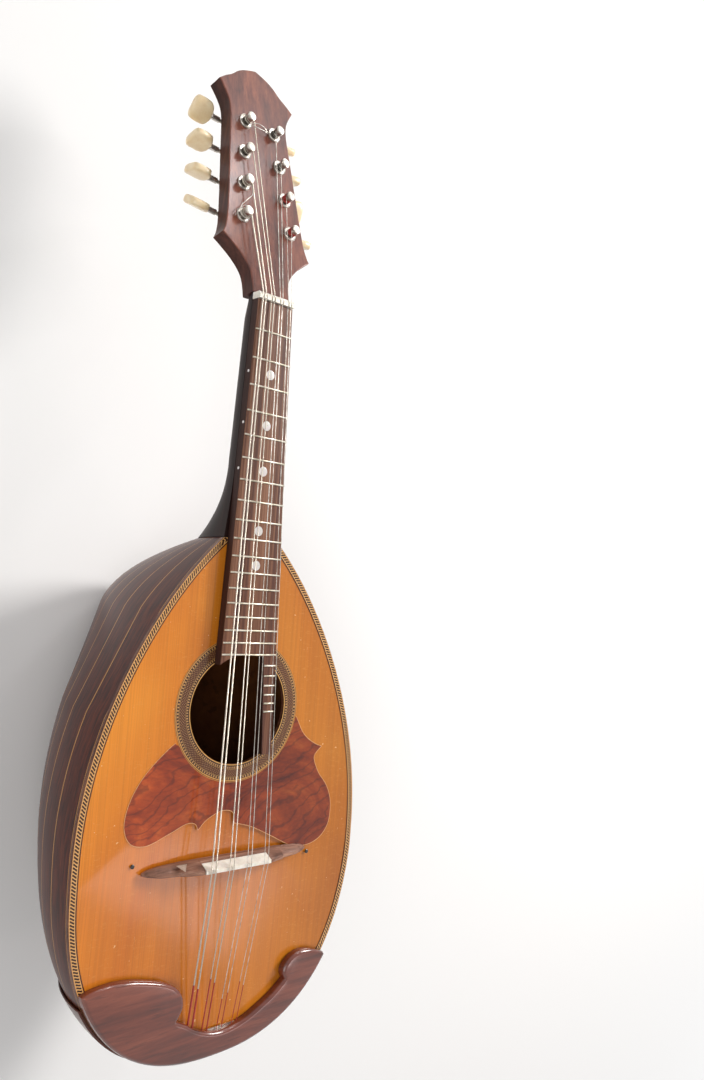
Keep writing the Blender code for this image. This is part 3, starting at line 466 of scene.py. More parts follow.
def plainMaterial(name, dark, light, roughness, scale, coat=0.0, subsurface=0.0):
    made, tree, shader = startMaterial(name, roughness, coat=coat)
    patch = noiseAt(tree, objectSpot(tree), 4.0, 0.6, scale=scale)
    paint(tree, shader, ramp(tree, patch, [(0.35, dark), (0.65, light)]))
    if subsurface:
        shader.inputs["Subsurface Weight"].default_value = subsurface
        shader.inputs["Subsurface Radius"].default_value = (0.003, 0.002, 0.001)
        shader.inputs["Subsurface Scale"].default_value = 1.0
    bump(tree, shader, patch, 0.05)
    return made


def stripUv(tree):
    return splitUp(tree, shade(tree, "UVMap", uv_map="strip"))[:2]


# Rope edge, in millimetres from the outside: a thin line, slanted strokes on cream, a dark rim
rope = {
    "outerLine": 0.22, "middle": 1.95, "halfWidth": 1.32, "rimFrom": 3.75,
    "pitch": 1.9, "stroke": (0.14, 0.76), "bend": 0.75, "bendRate": 1.15,
    "cream": ("c98f4e", "e2b070"), "strokes": "3a2115", "rim": "4a2410", "outer": "8b5a3e",
}


def ropeMaterial():
    made, tree, shader = startMaterial("ropePurfling", 0.34, coat=0.5, coatRoughness=0.12, specular=0.15)
    along, across = stripUv(tree)
    middle = maths(tree, "SUBTRACT", across, rope["middle"])
    bend = times(tree, maths(tree, "SINE", times(tree, middle, rope["bendRate"])), rope["bend"])
    phase = repeats(tree, plus(tree, along, bend), rope["pitch"])
    stroke = times(tree, above(tree, phase, rope["stroke"][0]), below(tree, phase, rope["stroke"][1]))
    inside = below(tree, maths(tree, "ABSOLUTE", middle), rope["halfWidth"])
    colour = mixColour(tree, noiseAt(tree, objectSpot(tree, (300, 300, 300))), *rope["cream"])
    colour = mixColour(tree, times(tree, stroke, inside), colour, rope["strokes"])
    colour = mixColour(tree, above(tree, across, rope["rimFrom"]), colour, rope["rim"])
    paint(tree, shader, mixColour(tree, below(tree, across, rope["outerLine"]), colour, rope["outer"]))
    return made


# Ring of the hole, in millimetres from its edge outwards
mosaic = {
    "pitch": 1.5, "ground": "382012", "field": "52301d", "fieldBand": (3.0, 7.4),
    "weave": "a87a4e", "weaveBand": (3.2, 7.2), "weaveShare": 0.4,
    "teeth": "bb8c58", "teethBands": ((1.3, 2.5), (7.9, 9.1)), "toothShare": 0.45,
    "lines": ((0.0, 0.55, "d8a35c"), (0.55, 0.9, "2c170c"), (2.75, 2.98, "b98d52"), (7.42, 7.65, "b98d52"),
              (9.4, 9.9, "d39a52"), (9.9, 10.25, "3b1d0e"), (10.25, 10.8, "c68844")),
}


def mosaicMaterial():
    made, tree, shader = startMaterial("mosaicRing", 0.36, coat=0.5, coatRoughness=0.12, specular=0.15)
    along, across = stripUv(tree)

    def within(low, high):
        return times(tree, above(tree, across, low), below(tree, across, high))

    def threads(value):
        return below(tree, repeats(tree, value, mosaic["pitch"]), mosaic["weaveShare"])

    colour = mixColour(tree, within(*mosaic["fieldBand"]), mosaic["ground"], mosaic["field"])
    crossing = times(tree, threads(plus(tree, along, across)), threads(maths(tree, "SUBTRACT", along, across)))
    colour = mixColour(tree, times(tree, crossing, within(*mosaic["weaveBand"])), colour, mosaic["weave"])
    tooth = below(tree, repeats(tree, along, mosaic["pitch"]), mosaic["toothShare"])
    for band in mosaic["teethBands"]:
        colour = mixColour(tree, times(tree, tooth, within(*band)), colour, mosaic["teeth"])
    for low, high, tone in mosaic["lines"]:
        colour = mixColour(tree, within(low, high), colour, tone)
    paint(tree, shader, colour)
    return made


def bowlMaterial():
    # u counts ribs across the bowl and v runs along it in millimetres
    made, tree, shader = startMaterial("darkRibs", 0.36, coat=0.12, coatRoughness=0.15, specular=0.2)
    ribs, along = stripUv(tree)
    share = maths(tree, "FRACT", ribs)
    edge = maths(tree, "MINIMUM", share, maths(tree, "SUBTRACT", 1.0, share))
    spot = tree.nodes.new("ShaderNodeCombineXYZ")
    # Each rib has its own grain
    tree.links.new(times(tree, ribs, 3.5), spot.inputs[0])
    tree.links.new(times(tree, along, 0.018), spot.inputs[1])
    tree.links.new(times(tree, maths(tree, "FLOOR", ribs), 7.3), spot.inputs[2])
    grain = noiseAt(tree, spot.outputs[0], 5.0, 0.6, 0.8, 3.0)
    colour = ramp(tree, grain, [(0.34, "2c0f08"), (0.52, "481a0d"), (0.70, "642a14")])
    paint(tree, shader, mixColour(tree, below(tree, edge, 0.022), colour, "b78449"))
    return made


def pearlMaterial():
    made, tree, shader = startMaterial("pearlDots", 0.18, coat=0.6)
    swirl = noiseAt(tree, objectSpot(tree, (700, 700, 700)), 2.0, 0.5, 2.0)
    tones = [(0.3, "b9c4b8"), (0.45, "e6e2da"), (0.6, "d8ccd2"), (0.75, "f4f1ea")]
    paint(tree, shader, ramp(tree, swirl, tones))
    return made


def silkMaterial():
    made, tree, shader = startMaterial("redSilk", 0.6)
    values = {"Vector": objectSpot(tree), "Scale": 420.0, "Distortion": 1.0}
    thread = shade(tree, "TexWave", values, pick=1, bands_direction="Y")
    paint(tree, shader, ramp(tree, thread, [(0.2, "7a1a18"), (0.7, "b83c34")]))
    return made


def woundMaterial(name, bright, dull):
    made, tree, shader = startMaterial(name, 0.32, metallic=1.0)
    turns = shade(tree, "TexWave", {"Vector": objectSpot(tree), "Scale": 900.0}, pick=1, bands_direction="Y")
    paint(tree, shader, ramp(tree, turns, [(0.2, dull), (0.7, bright)]))
    bump(tree, shader, turns, 0.4)
    return made


look = {
    "spruce": spruceMaterial(),
    "binding": darkWood("mauveBinding", ("4b2a20", "6a4030", "85573f"), (60, 500, 60), 0.35),
    "rope": ropeMaterial(),
    "mosaic": mosaicMaterial(),
    "burl": burlMaterial(),
    "burlEdge": plainMaterial("burlEdge", "c98a52", "dda268", 0.35, 300.0, 0.7),
    "bowl": bowlMaterial(),
    "bowlInside": darkWood("bowlInside", ("442610", "67391a", "875026"), (40, 40, 40), 0.7, 0.0),
    "clasp": darkWood("claspWood", ("2a100a", "431b10", "5c2a18"), (14, 120, 60), 0.3, 0.35),
    "neck": darkWood("darkMahogany", ("120706", "1e0d09", "2c150e"), (240, 10, 240), 0.5, 0.08),
    "board": darkWood("streakedRosewood", ("33191a", "5e3a2c", "94674c"), (620, 9, 620), 0.40, 0.15, 0.35),
    "head": darkWood("redRosewood", ("401a10", "693425", "8a4c35"), (420, 10, 420), 0.48, 0.7, 0.4, 0.16),
    # Painted shade: a darker copy of the head's wood for its side walls
    "shadedHeadSide": darkWood("shadedHeadSide", ("2a130e", "43221a", "5a3126"), (420, 10, 420), 0.45, 0.1, 0.4),
    # Painted shade: a darker copy of the fingerboard's wood for its sides
    "shadedBoardSide": darkWood("shadedBoardSide", ("1d0f0c", "301a14", "442820"), (620, 9, 620), 0.5, 0.0, 0.35),
    "cover": darkWood("glossyRosewood", ("3d160d", "682d1d", "8a4630"), (20, 190, 60), 0.22, 1.0, 0.4),
    "bridge": darkWood("greyRosewood", ("472c22", "8b6351", "b58e79"), (26, 420, 420), 0.5, 0.1, 0.5),
    "bridgeCut": plainMaterial("bridgeCut", "9a8474", "b5a191", 0.5, 400.0),
    "bone": plainMaterial("bone", "ddd6c8", "f0ebe0", 0.35, 260.0, 0.3, 0.1),
    "ivory": plainMaterial("agedCream", "e8cd9e", "f3dfb9", 0.32, 150.0, 0.4, 0.1),
    "nickel": metalMaterial("agedNickel", "d8d4cc", "9a948a", 0.24),
    "darkNickel": metalMaterial("darkNickel", "77716a", "3b3733", 0.36),
    "fretWire": metalMaterial("fretWire", "d9d3c4", "a39b86", 0.28),
    "steel": metalMaterial("plainSteel", "cfcac2", "948d83", 0.3),
    "wound": woundMaterial("silverWound", "d0c7b9", "857b6f"),
    "pearl": pearlMaterial(),
    "silk": silkMaterial(),
    "pine": darkWood("rawPine", ("8e6a3c", "a98250", "c09a66"), (160, 6, 160), 0.7, 0.0),
    "black": plainMaterial("blackPin", "0b0908", "16110e", 0.3, 200.0, 0.4),
}


def dress(name, material, edge=0.0, segments=2):
    # A finish and a soft edge for a solid that shows as it is
    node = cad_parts[name]
    node.material_slots[0].material = look[material]
    if edge:
        change = node.modifiers.new("softEdge", "BEVEL")
        change.width = edge
        change.segments = segments
        change.limit_method = "ANGLE"
        change.angle_limit = radians(35)


print("stage: materials ready")


# Top: the board, its rope edge, the ring of the sound hole and the inlay

trim = {"boardTop": -0.0002, "edgeWidth": 0.0045, "edgeDeep": 0.0015, "ringWidth": 0.0106, "ringDeep": 0.0009}


def buildTop():
    shape = slab([bodyOutline(), ellipse(0.0)], -body["boardThickness"], trim["boardTop"], 1)
    solid("topBoard", shape, [look["spruce"], look["binding"]], replaced=("soundboard",))


def stripBetween(name, outer, inner, deep, material, replaced, closedLoop):
    # A band with its top laid out in millimetres: u along it, v from the first line inwards
    shape = bmesh.new()
    layer = shape.loops.layers.uv.new("strip")
    count = len(outer)
    steps = count if closedLoop else count - 1
    corners = ((outer, -deep), (outer, 0.0), (inner, 0.0), (inner, -deep))
    marks = [0.0]
    for a, b in zip(outer, outer[1:] + outer[:1]):
        marks.append(marks[-1] + (Vector(b) - Vector(a)).length * 1000)
    width = [trim["edgeWidth"]] * count
    if closedLoop:
        width = [(Vector(a) - Vector(b)).length for a, b in zip(outer, inner)]
    verts = []
    for k in range(count):
        verts.append([shape.verts.new(place(*line[k], height)) for line, height in corners])
    for k in range(steps):
        nxt = (k + 1) % count
        for row in range(4):
            nextRow = (row + 1) % 4
            face = shape.faces.new((verts[k][row], verts[nxt][row], verts[nxt][nextRow], verts[k][nextRow]))
            for loop, i, at in zip(face.loops, (k, k + 1, k + 1, k), (row, row, nextRow, nextRow)):
                inward = at == 2 if row == 1 else row == 2
                loop[layer].uv = (marks[i], width[i % count] * 1000 if inward else 0.0)
    if not closedLoop:
        for end in (0, -1):
            shape.faces.new(verts[end])
    solid(name, shape, material, replaced=replaced)


def buildTrim():
    stripBetween("ropeEdge", rimLine(0.0), rimLine(-trim["edgeWidth"]), trim["edgeDeep"], look["rope"],
                 ("edge_binding",), False)
    stripBetween("mosaicRing", ellipse(0.0), ellipse(trim["ringWidth"]), trim["ringDeep"], look["mosaic"],
                 ("rosette",), True)


inlay = {
    "deep": 0.0008, "proud": 0.00002, "line": 0.00035, "lineProud": 0.00003, "arcSteps": 40,
    "bass": [(-0.0300, 0.2660), (-0.0415, 0.2674), (-0.0525, 0.2754), (-0.0638, 0.2872), (-0.0709, 0.3003),
             (-0.0728, 0.3129), (-0.0679, 0.3222), (-0.0575, 0.3244), (-0.0434, 0.3196), (-0.0319, 0.3152),
             (-0.0257, 0.3159), (-0.0233, 0.3196)],
    "middle": [(-0.0233, 0.3196), (-0.0176, 0.3143), (-0.0073, 0.3102), (0.0010, 0.3117), (0.0031, 0.3185)],
    "treble": [(0.0031, 0.3185), (0.0160, 0.3221), (0.0317, 0.3293), (0.0468, 0.3367), (0.0556, 0.3388),
               (0.0656, 0.3387), (0.0743, 0.3351), (0.0801, 0.3282), (0.0817, 0.3188), (0.0804, 0.3100),
               (0.0763, 0.3019), (0.0690, 0.2937), (0.0646, 0.2857), (0.0646, 0.2814), (0.0699, 0.2765)],
    "horn": [(0.0699, 0.2765), (0.0646, 0.2748), (0.0579, 0.2711), (0.0524, 0.2661), (0.0470, 0.2575),
             (0.0440, 0.2540)],
}


def buildInlay():
    wide, long = (hole[key] + trim["ringWidth"] for key in ("halfWidth", "halfLength"))

    def onRing(x, d):
        return atan2((d - hole["d"]) / long, x / wide)

    def clear(x, d):
        return (x / wide) ** 2 + ((d - hole["d"]) / long) ** 2 > 1.002

    bass = [p for p in curveThrough(inlay["bass"], 5) if clear(*p)]
    horn = [p for p in curveThrough(inlay["horn"], 4) if clear(*p)]
    free = bass[:-1] + curveThrough(inlay["middle"], 5)[:-1] + curveThrough(inlay["treble"], 5)[:-1] + horn
    first, last = onRing(*horn[-1]), onRing(*bass[0])
    if last < first:
        last += 2 * pi
    steps = inlay["arcSteps"]
    arc = [onHole(first + (last - first) * k / steps, trim["ringWidth"]) for k in range(1, steps)]
    outline = free + arc
    solid("wingInlay", slab([outline], -inlay["deep"], inlay["proud"]), look["burl"], replaced=("pickguard",))
    # A pale line round its free edge
    shape = bmesh.new()
    grown = offset(outline, inlay["line"], 1.4)
    for k in range(len(free) - 1):
        shape.faces.new(laid(shape, (free[k], free[k + 1], grown[k + 1], grown[k]), inlay["lineProud"]))
    solid("wingLine", shape, look["burlEdge"])


buildTop()
buildTrim()
buildInlay()
print("stage: top laid")


# Bowl: narrow ribs with pale lines between them, and the clasp round the tail

bowl = {
    "ribs": 19, "across": 76, "upper": 26, "lower": 34, "upperEase": 0.85, "reach": 0.86, "tailGap": 0.003,
}


def bowlStations():
    joint, start, end, tail = (body[key] for key in ("joint", "restStart", "restEnd", "tail"))
    upper = [start - (start - joint) * (1 - k / bowl["upper"]) ** bowl["upperEase"]
             for k in range(bowl["upper"] + 1)]
    reach = pi / 2 * bowl["reach"]
    lower = [end + (tail - bowl["tailGap"] - end) * sin(reach * k / bowl["lower"]) / sin(reach)
             for k in range(bowl["lower"] + 1)]
    return upper + lower


def buildBowl():
    shape = bmesh.new()
    layer = shape.loops.layers.uv.new("strip")
    stations = bowlStations()
    count = bowl["across"]
    angles = [pi * k / count for k in range(count + 1)]
    outer, inner = ([[shape.verts.new(bowlPoint(d, a, inward)) for a in angles] for d in stations]
                    for inward in (0.0, body["ribThickness"]))
    for rows, index in ((outer, 0), (inner, 1)):
        for i in range(len(stations) - 1):
            for k in range(count):
                corners = ((i, k), (i, k + 1), (i + 1, k + 1), (i + 1, k))
                face = shape.faces.new([rows[ii][kk] for ii, kk in corners])
                face.material_index = index
                for loop, (ii, kk) in zip(face.loops, corners):
                    loop[layer].uv = (bowl["ribs"] * kk / count, stations[ii] * 1000)
    for i in (0, -1):
        joinRows(shape, outer[i], inner[i], 1, False)
    for k in (0, -1):
        joinRows(shape, [row[k] for row in outer], [row[k] for row in inner], 1, False)
    ribs = ["bowl_rib_%d" % (k + 1) for k in range(9)]
    solid("ribbedBowl", shape, [look["bowl"], look["bowlInside"]], 50, ribs)


# The clasp's "front" has pairs of how far back and how far out, its "end" of how far back and
# how much of the last ring is left
clasp = {
    "long": 0.046, "tailGap": 0.003, "out": 0.0019, "endOut": 0.0013, "tuck": 0.0016,
    "across": 72, "along": 20,
    "front": ((0.0, 0.0004), (0.0, 0.0013), (0.0005, 0.0019)), "end": ((0.0004, 0.94), (0.0006, 0.86)),
}


def buildClasp():
    start, end = body["tail"] - clasp["long"], body["tail"] - clasp["tailGap"]
    angles = [pi * k / clasp["across"] for k in range(clasp["across"] + 1)]
    rows = [[bowlPoint(start + back, a, -out) for a in angles] for back, out in clasp["front"]]
    for k in range(1, clasp["along"] + 1):
        d = start + (end - start) * sin(pi / 2 * k / clasp["along"])
        rows.append([bowlPoint(d, a, -clasp["out"]) for a in angles])
    last = rows[-1]
    for p in last:
        p.y -= clasp["endOut"]
    middle = sum(last, Vector()) / len(last)
    for back, share in clasp["end"]:
        row = [middle.lerp(p, share) - Vector((0, back, 0)) for p in last]
        for p in row:
            p.z = min(p.z, last[0].z)
        rows.append(row)
    shape = bmesh.new()
    verts = [[shape.verts.new(p) for p in row] for row in rows]
    for low, high in zip(verts, verts[1:]):
        joinRows(shape, low, high, 0, False)
    shape.faces.new(verts[-1])
    # The upper rim reaches in under the board
    for k, side in ((0, -1), (-1, 1)):
        upper = [row[k] for row in verts[:-2]]
        tucked = [shape.verts.new(vert.co + Vector((side * clasp["tuck"], 0, 0))) for vert in upper]
        joinRows(shape, upper, tucked, 0, False)
    solid("tailClasp", shape, look["clasp"], 50, ("end_clasp",))


buildBowl()
buildClasp()
for name in ("tail_block", "neck_block", "upper_brace", "lower_brace"):
    dress(name, "pine")
print("stage: bowl closed")


# Neck

neck = {
    "halfAtNut": 0.01363, "taper": 0.0327, "deepAtNut": 0.0150, "deepAtHeel": 0.0180, "heelLength": 0.045,
    "nut": 0.0042, "blend": 0.010, "lean": 0.006, "heelSteps": 22, "steps": 14, "sides": 32,
}


def neckHalfWidth(d):
    return neck["halfAtNut"] + neck["taper"] * d


def buildNeck():
    nutEnd = -neck["nut"] - 2 * body["gap"]
    heelStart = body["joint"] - neck["heelLength"]
    along = [body["joint"] - body["gap"] - neck["heelLength"] * (k / neck["heelSteps"]) ** 1.3
             for k in range(neck["heelSteps"] + 1)]
    along += [heelStart + (neck["blend"] - heelStart) * k / neck["steps"] for k in range(1, neck["steps"] + 1)]
    along += [0.006, 0.003, 0.0, -0.002, nutEnd]
    rings = []
    for d in along:
        s = max(0.0, (d - heelStart) / neck["heelLength"])
        plain = neck["deepAtNut"] + (neck["deepAtHeel"] - neck["deepAtNut"]) * d / heelStart
        deep = plain + (body["heelDepth"] - plain) * s ** 2.2
        wide = neckHalfWidth(max(d, 0)) * (1 - s ** 2) + body["heelHalfWidth"] * s ** 2
        if d < neck["blend"]:
            deep = head["thickness"] + (deep - head["thickness"]) * (d - nutEnd) / (neck["blend"] - nutEnd)
        # Its upper end leans back to meet the tilted head
        lean = tan(head["tilt"]) * max(0.0, 1 - (d - nutEnd) / neck["lean"])
        ring = []
        for k in range(neck["sides"] + 1):
            a = pi * k / neck["sides"]
            drop = deep * sin(a) ** 0.85
            ring.append(place(wide * cos(a), d, -drop) - Vector((0, (drop + head["rise"]) * lean, 0)))
        rings.append(ring)
    solid("carvedNeck", loft(rings), look["neck"], 50, ("neck",))


# Fingerboard with its tongue beside the hole, frets, dots and nut

board = {
    "height": 0.0062, "frets": 24, "end": 0.2775, "corner": -0.0208, "tongueLeft": 0.0114, "lean": 0.0041,
    "soft": 0.00025, "softDeep": 0.0003, "top": 0.00002, "crown": 0.0009, "wire": 0.0011, "wireIn": 0.0002,
    "wireEnd": 0.0004, "dots": (3, 5, 7, 10, 12), "sideDots": (3, 5, 7), "sideDotHeight": 0.0036,
    "dot": ((0.0030, -0.0002), (0.0030, 0.00003), (0.0028, 0.00006)),
    "sideDot": ((0.0009, -0.0005), (0.0009, 0.00012), (0.0007, 0.00016)),
}


def arcEnd(x):
    # Where the sound hole begins at this x
    return hole["d"] - hole["halfLength"] * sqrt(1 - (x / hole["halfWidth"]) ** 2)


def leftLimit(d):
    # Left edge of the board: the neck's taper, the hole's arc, then the tongue beside the hole
    if d <= arcEnd(-neckHalfWidth(arcEnd(board["corner"]))):
        return -neckHalfWidth(d)
    top = arcEnd(board["tongueLeft"])
    if d >= top:
        return board["tongueLeft"] + board["lean"] * (d - top) / (board["end"] - top)
    low, high = board["corner"] - 0.0001, 0.0
    for step in range(30):
        middle = (low + high) / 2
        low, high = (middle, high) if arcEnd(middle) > d else (low, middle)
    return low


def betweenFrets(number):
    return (fretAt(number) + fretAt(number - 1)) / 2


def buildFingerboard():
    corner = -neckHalfWidth(arcEnd(board["corner"]))
    arc = [corner + (board["tongueLeft"] - corner) * k / 30 for k in range(31)]
    outline = [(-neckHalfWidth(0), 0.0)] + [(x, arcEnd(x)) for x in arc]
    outline += [(board["tongueLeft"] + board["lean"], board["end"]),
                (neckHalfWidth(board["end"]), board["end"]), (neckHalfWidth(0), 0.0)]
    rounded = offset(outline, -board["soft"], 1.2)
    top, shoulder = board["height"] - board["top"], board["height"] - board["softDeep"]
    shape = bmesh.new()
    fillLoops(shape, [laid(shape, rounded, top)])
    fillLoops(shape, [laid(shape, outline, body["gap"])])
    # The sides take the darker copy of the wood, which is painted shade
    joinRows(shape, laid(shape, outline, body["gap"]), laid(shape, outline, shoulder), 1)
    joinRows(shape, laid(shape, outline, shoulder), laid(shape, rounded, top))
    bmesh.ops.remove_doubles(shape, verts=shape.verts, dist=1e-7)
    solid("fingerboardWood", shape, [look["board"], look["shadedBoardSide"]], replaced=("fingerboard",))


def buildFrets():
    shape = bmesh.new()
    for number in range(1, board["frets"] + 1):
        d = fretAt(number)
        left, right = leftLimit(d) + board["wireIn"], neckHalfWidth(d) - board["wireIn"]
        rings = []
        ends = ((left, 0.55), (left + board["wireEnd"], 1.0), (right - board["wireEnd"], 1.0), (right, 0.55))
        for x, share in ends:
            high = board["crown"] * share
            rings.append([place(x, d + board["wire"] / 2 * cos(pi * k / 8),
                                board["height"] + high * sin(pi * k / 8) ** 0.8) for k in range(9)])
        loft(rings, shape=shape)
    solid("fretWires", shape, look["fretWire"], 50)


def buildDots():
    shape = bmesh.new()
    for number in board["dots"]:
        turned(board["dot"], 28, moved(*place(0, betweenFrets(number), board["height"])), shape)
    for number in board["sideDots"]:
        d = betweenFrets(number)
        spot = moved(*place(-neckHalfWidth(d) + 0.0001, d, board["sideDotHeight"])) @ spun(-pi / 2, "Y")
        turned(board["sideDot"], 14, spot, shape)
    solid("pearlDots", shape, look["pearl"], 50)


buildNeck()
buildFingerboard()
buildFrets()
buildDots()
for name in ("nut", "saddle"):
    dress(name, "bone", 0.00012)
print("stage: neck and fingerboard")


# Bridge: "form" has the share of the half length, of the width and of the height

bridge = {
    "d": 0.3400, "half": 0.0600, "wide": 0.0038, "high": 0.0122, "saddleHalf": 0.0241, "seat": 0.0066,
    "foot": 0.0002,
    "form": ((0, 1, 1), (0.42, 1, 0.98), (0.60, 1, 0.72), (0.64, 0.94, 0.58), (0.83, 0.82, 0.47),
             (0.95, 0.50, 0.28), (1, 0.2, 0.14)),
    "stops": (1, 0.985, 0.95, 0.90, 0.83, 0.74, 0.64, 0.615, 0.60, 0.54, 0.48, 0.42),
    "section": ((-0.99, 0.30), (-0.88, 0.44), (-0.02, 0.96), (0.14, 0.995), (0.62, 0.985), (0.76, 0.90)),
    "cut": ((-0.0372, 0.33925, 0.01065), (-0.0405, 0.33660, 0.00560), (-0.0335, 0.33640, 0.00590)),
    "pins": ((-0.0655, 0.3350), (0.0636, 0.3438)),
    "pin": ((0.0012, -0.0005), (0.0012, 0.00005), (0.0008, 0.0003)),
}


def bridgeForm(reach):
    for (r0, w0, h0), (r1, w1, h1) in zip(bridge["form"], bridge["form"][1:]):
        if reach <= r1 + 1e-9:
            t = (reach - r0) / (r1 - r0)
            return bridge["wide"] * (w0 + (w1 - w0) * t), bridge["high"] * (h0 + (h1 - h0) * t)


def buildBridge():
    foot = bridge["foot"]
    for side, name, replaced in ((-1, "bridgeWingTreble", ("bridge",)), (1, "bridgeWingBass", ())):
        rings = []
        for reach in bridge["stops"] + (bridge["saddleHalf"] / bridge["half"],):
            wide, high = bridgeForm(reach)
            section = [(-wide, foot)] + [(w * wide, h * high) for w, h in bridge["section"]] + [(wide, foot)]
            rings.append([place(reach * side * bridge["half"], bridge["d"] + d, z) for d, z in section])
        solid(name, loft(rings), look["bridge"], 28, replaced)
    rings = []
    for x in (-bridge["saddleHalf"], bridge["saddleHalf"]):
        wide, high = bridgeForm(abs(x) / bridge["half"])
        seat = bridge["seat"]
        slope = (seat - 0.40 * high) / (0.60 * high)
        section = ((-wide, foot), (-wide, 0.40 * high), (-wide + 1.10 * wide * slope, seat),
                   (wide * 0.84, seat), (wide, foot))
        rings.append([place(x, bridge["d"] + d, z) for d, z in section])
    solid("bridgeSeat", loft(rings), look["bridge"], 28)


def buildBridgeTrim():
    # Pale cut on the shoulder of the bass wing, and the two pins in the board beside the feet
    shape = bmesh.new()
    shape.faces.new([shape.verts.new(place(*p)) for p in bridge["cut"]])
    solid("wingCut", shape, look["bridgeCut"], 28)
    shape = bmesh.new()
    for x, d in bridge["pins"]:
        turned(bridge["pin"], 14, moved(*place(x, d)), shape)
    solid("boardPins", shape, look["black"], 40)


buildBridge()
buildBridgeTrim()
print("stage: bridge")


# Tail cover: its front edge is drawn, its back edge follows the body

cover = {
    "thick": 0.0055, "round": 0.0024, "roundSteps": 7, "foot": 0.0002,
    "trebleFrom": 0.4125, "bassFrom": 0.4010,
    "bassLobe": [
        (-0.0915, 0.4000), (-0.0862, 0.3980), (-0.0785, 0.3969), (-0.0700, 0.3967), (-0.0592, 0.3979),
        (-0.0480, 0.4006), (-0.0384, 0.4037), (-0.0308, 0.4078), (-0.0260, 0.4131), (-0.0243, 0.4182),
        (-0.0248, 0.4230), (-0.0279, 0.4282)],
    "hollow": [(-0.0279, 0.4282), (-0.0205, 0.4320), (-0.0130, 0.4368), (-0.0040, 0.4404), (0.0060, 0.4420),
               (0.0155, 0.4410), (0.0250, 0.4382), (0.0330, 0.4345), (0.0430, 0.4290), (0.0519, 0.4220)],
    "trebleLobe": [(0.0519, 0.4220), (0.0500, 0.4180), (0.0506, 0.4140), (0.0540, 0.4098), (0.0590, 0.4072),
                   (0.0650, 0.4062), (0.0720, 0.4070), (0.0785, 0.4090), (0.0845, 0.4115)],
}


def buildCover():
    front = curveThrough(cover["bassLobe"], 5)[:-1] + curveThrough(cover["hollow"], 5)[:-1]
    front += curveThrough(cover["trebleLobe"], 5)
    rim = [(x, d) for x, d in bodyOutline(90) if d > (cover["trebleFrom"] if x > 0 else cover["bassFrom"])]
    outline = front[1:-1] + rim
    shape = bmesh.new()
    shoulder = cover["thick"] - cover["round"]
    rows = [laid(shape, outline, cover["foot"]), laid(shape, outline, shoulder)]
    for k in range(1, cover["roundSteps"] + 1):
        a = pi / 2 * k / cover["roundSteps"]
        inner = offset(outline, -cover["round"] * (1 - cos(a)), 1.15)
        rows.append(laid(shape, inner, shoulder + cover["round"] * sin(a)))
    for low, high in zip(rows, rows[1:]):
        joinRows(shape, low, high)
    fillLoops(shape, [rows[-1]])
    solid("tailCoverWood", shape, look["cover"], 50, ("tail_cover",))


buildCover()
dress("tailpiece", "nickel")
print("stage: tail cover")


# Head: half of its outline from the nut to the crown, in its own frame

headCurves = (
    [(0.0144, 0.0003), (0.0144, 0.0060), (0.0148, 0.0110), (0.0160, 0.0155), (0.0180, 0.0190),
     (0.0208, 0.0225), (0.0240, 0.0258), (0.0290, 0.0300), (0.0347, 0.0343)],
    [(0.0347, 0.0343), (0.0330, 0.0375), (0.0316, 0.0420), (0.0301, 0.0500), (0.0277, 0.0720),
     (0.0252, 0.0980), (0.0232, 0.1180), (0.0229, 0.1240), (0.0233, 0.1300), (0.0255, 0.1360),
     (0.0299, 0.1438)],
    [(0.0299, 0.1438), (0.0248, 0.1480), (0.0205, 0.1508), (0.0179, 0.1530), (0.0145, 0.1562),
     (0.0103, 0.1588), (0.0050, 0.1610), (0.0000, 0.1626)],
)


def buildHead():
    throat, flank, crown = (curveThrough(points, 4) for points in headCurves)
    half = throat[:-1] + flank[:-1] + crown
    outline = half + [(-x, s) for x, s in reversed(half[:-1])]
    matrix = headMatrix()
    thick, soft = head["thickness"], head["soft"]
    shape = bmesh.new()

    def ring(points, z):
        return [shape.verts.new(matrix @ Vector((x, s, z))) for x, s in points]

    inner = offset(outline, -soft, 1.1)
    rows = [ring(inner, -thick), ring(outline, -thick + soft), ring(outline, -soft),
            ring(offset(outline, -soft * 0.3, 1.1), -soft * 0.3), ring(inner, 0.0)]
    # The side walls take the darker copy of the head's wood, which is painted shade
    for (low, high), material in zip(zip(rows, rows[1:]), (1, 1, 0, 0)):
        joinRows(shape, low, high, material)
    lowLoops, highLoops = [rows[0]], [rows[-1]]
    for number in range(2 * posts["perSide"]):
        centre = matrix.inverted() @ postFrame(number).translation
        angles = [2 * pi * k / 24 for k in range(24)]
        circle = [(centre.x + head["postHole"] * cos(a), centre.y + head["postHole"] * sin(a)) for a in angles]
        lowLoops.append(ring(circle, -thick))
        highLoops.append(ring(circle, 0.0))
        joinRows(shape, lowLoops[-1], highLoops[-1])
    fillLoops(shape, lowLoops)
    fillLoops(shape, highLoops)
    solid("carvedHead", shape, [look["head"], look["shadedHeadSide"]], 18, ("headstock",))


# Tuning machines. Profiles are radius and height, that of the cap from the top of the post.

machines = {
    "plate": 0.0010, "endScrew": -0.0068, "screwShift": 0.0040,
    "ferrule": ((0.00425, 0.0009), (0.00435, 0.00118), (0.00455, 0.00128), (0.00472, 0.00115),
                (0.0048, 0.0008), (0.0048, 0.0)),
    "lining": ((0.0028, 0.00088), (0.0043, 0.00092)),
    "screw": ((0.0015, -0.0003), (0.0015, 0.0002), (0.0011, 0.0006), (0.0004, 0.0007)),
    "cap": ((0.0024, -0.00235), (0.00288, -0.00225), (0.00298, -0.0020), (0.00298, -0.0004),
            (0.00284, 0.00005), (0.0025, 0.00026), (0.0012, 0.0003)),
    "collar": ((0.0027, 0.00125), (0.0027, 0.0020), (0.00225, 0.0023)),
    "flutes": 22, "fluteRadii": (0.00224, 0.00246), "fluteFrom": 0.0017, "fluteBelowTop": 0.0022,
}


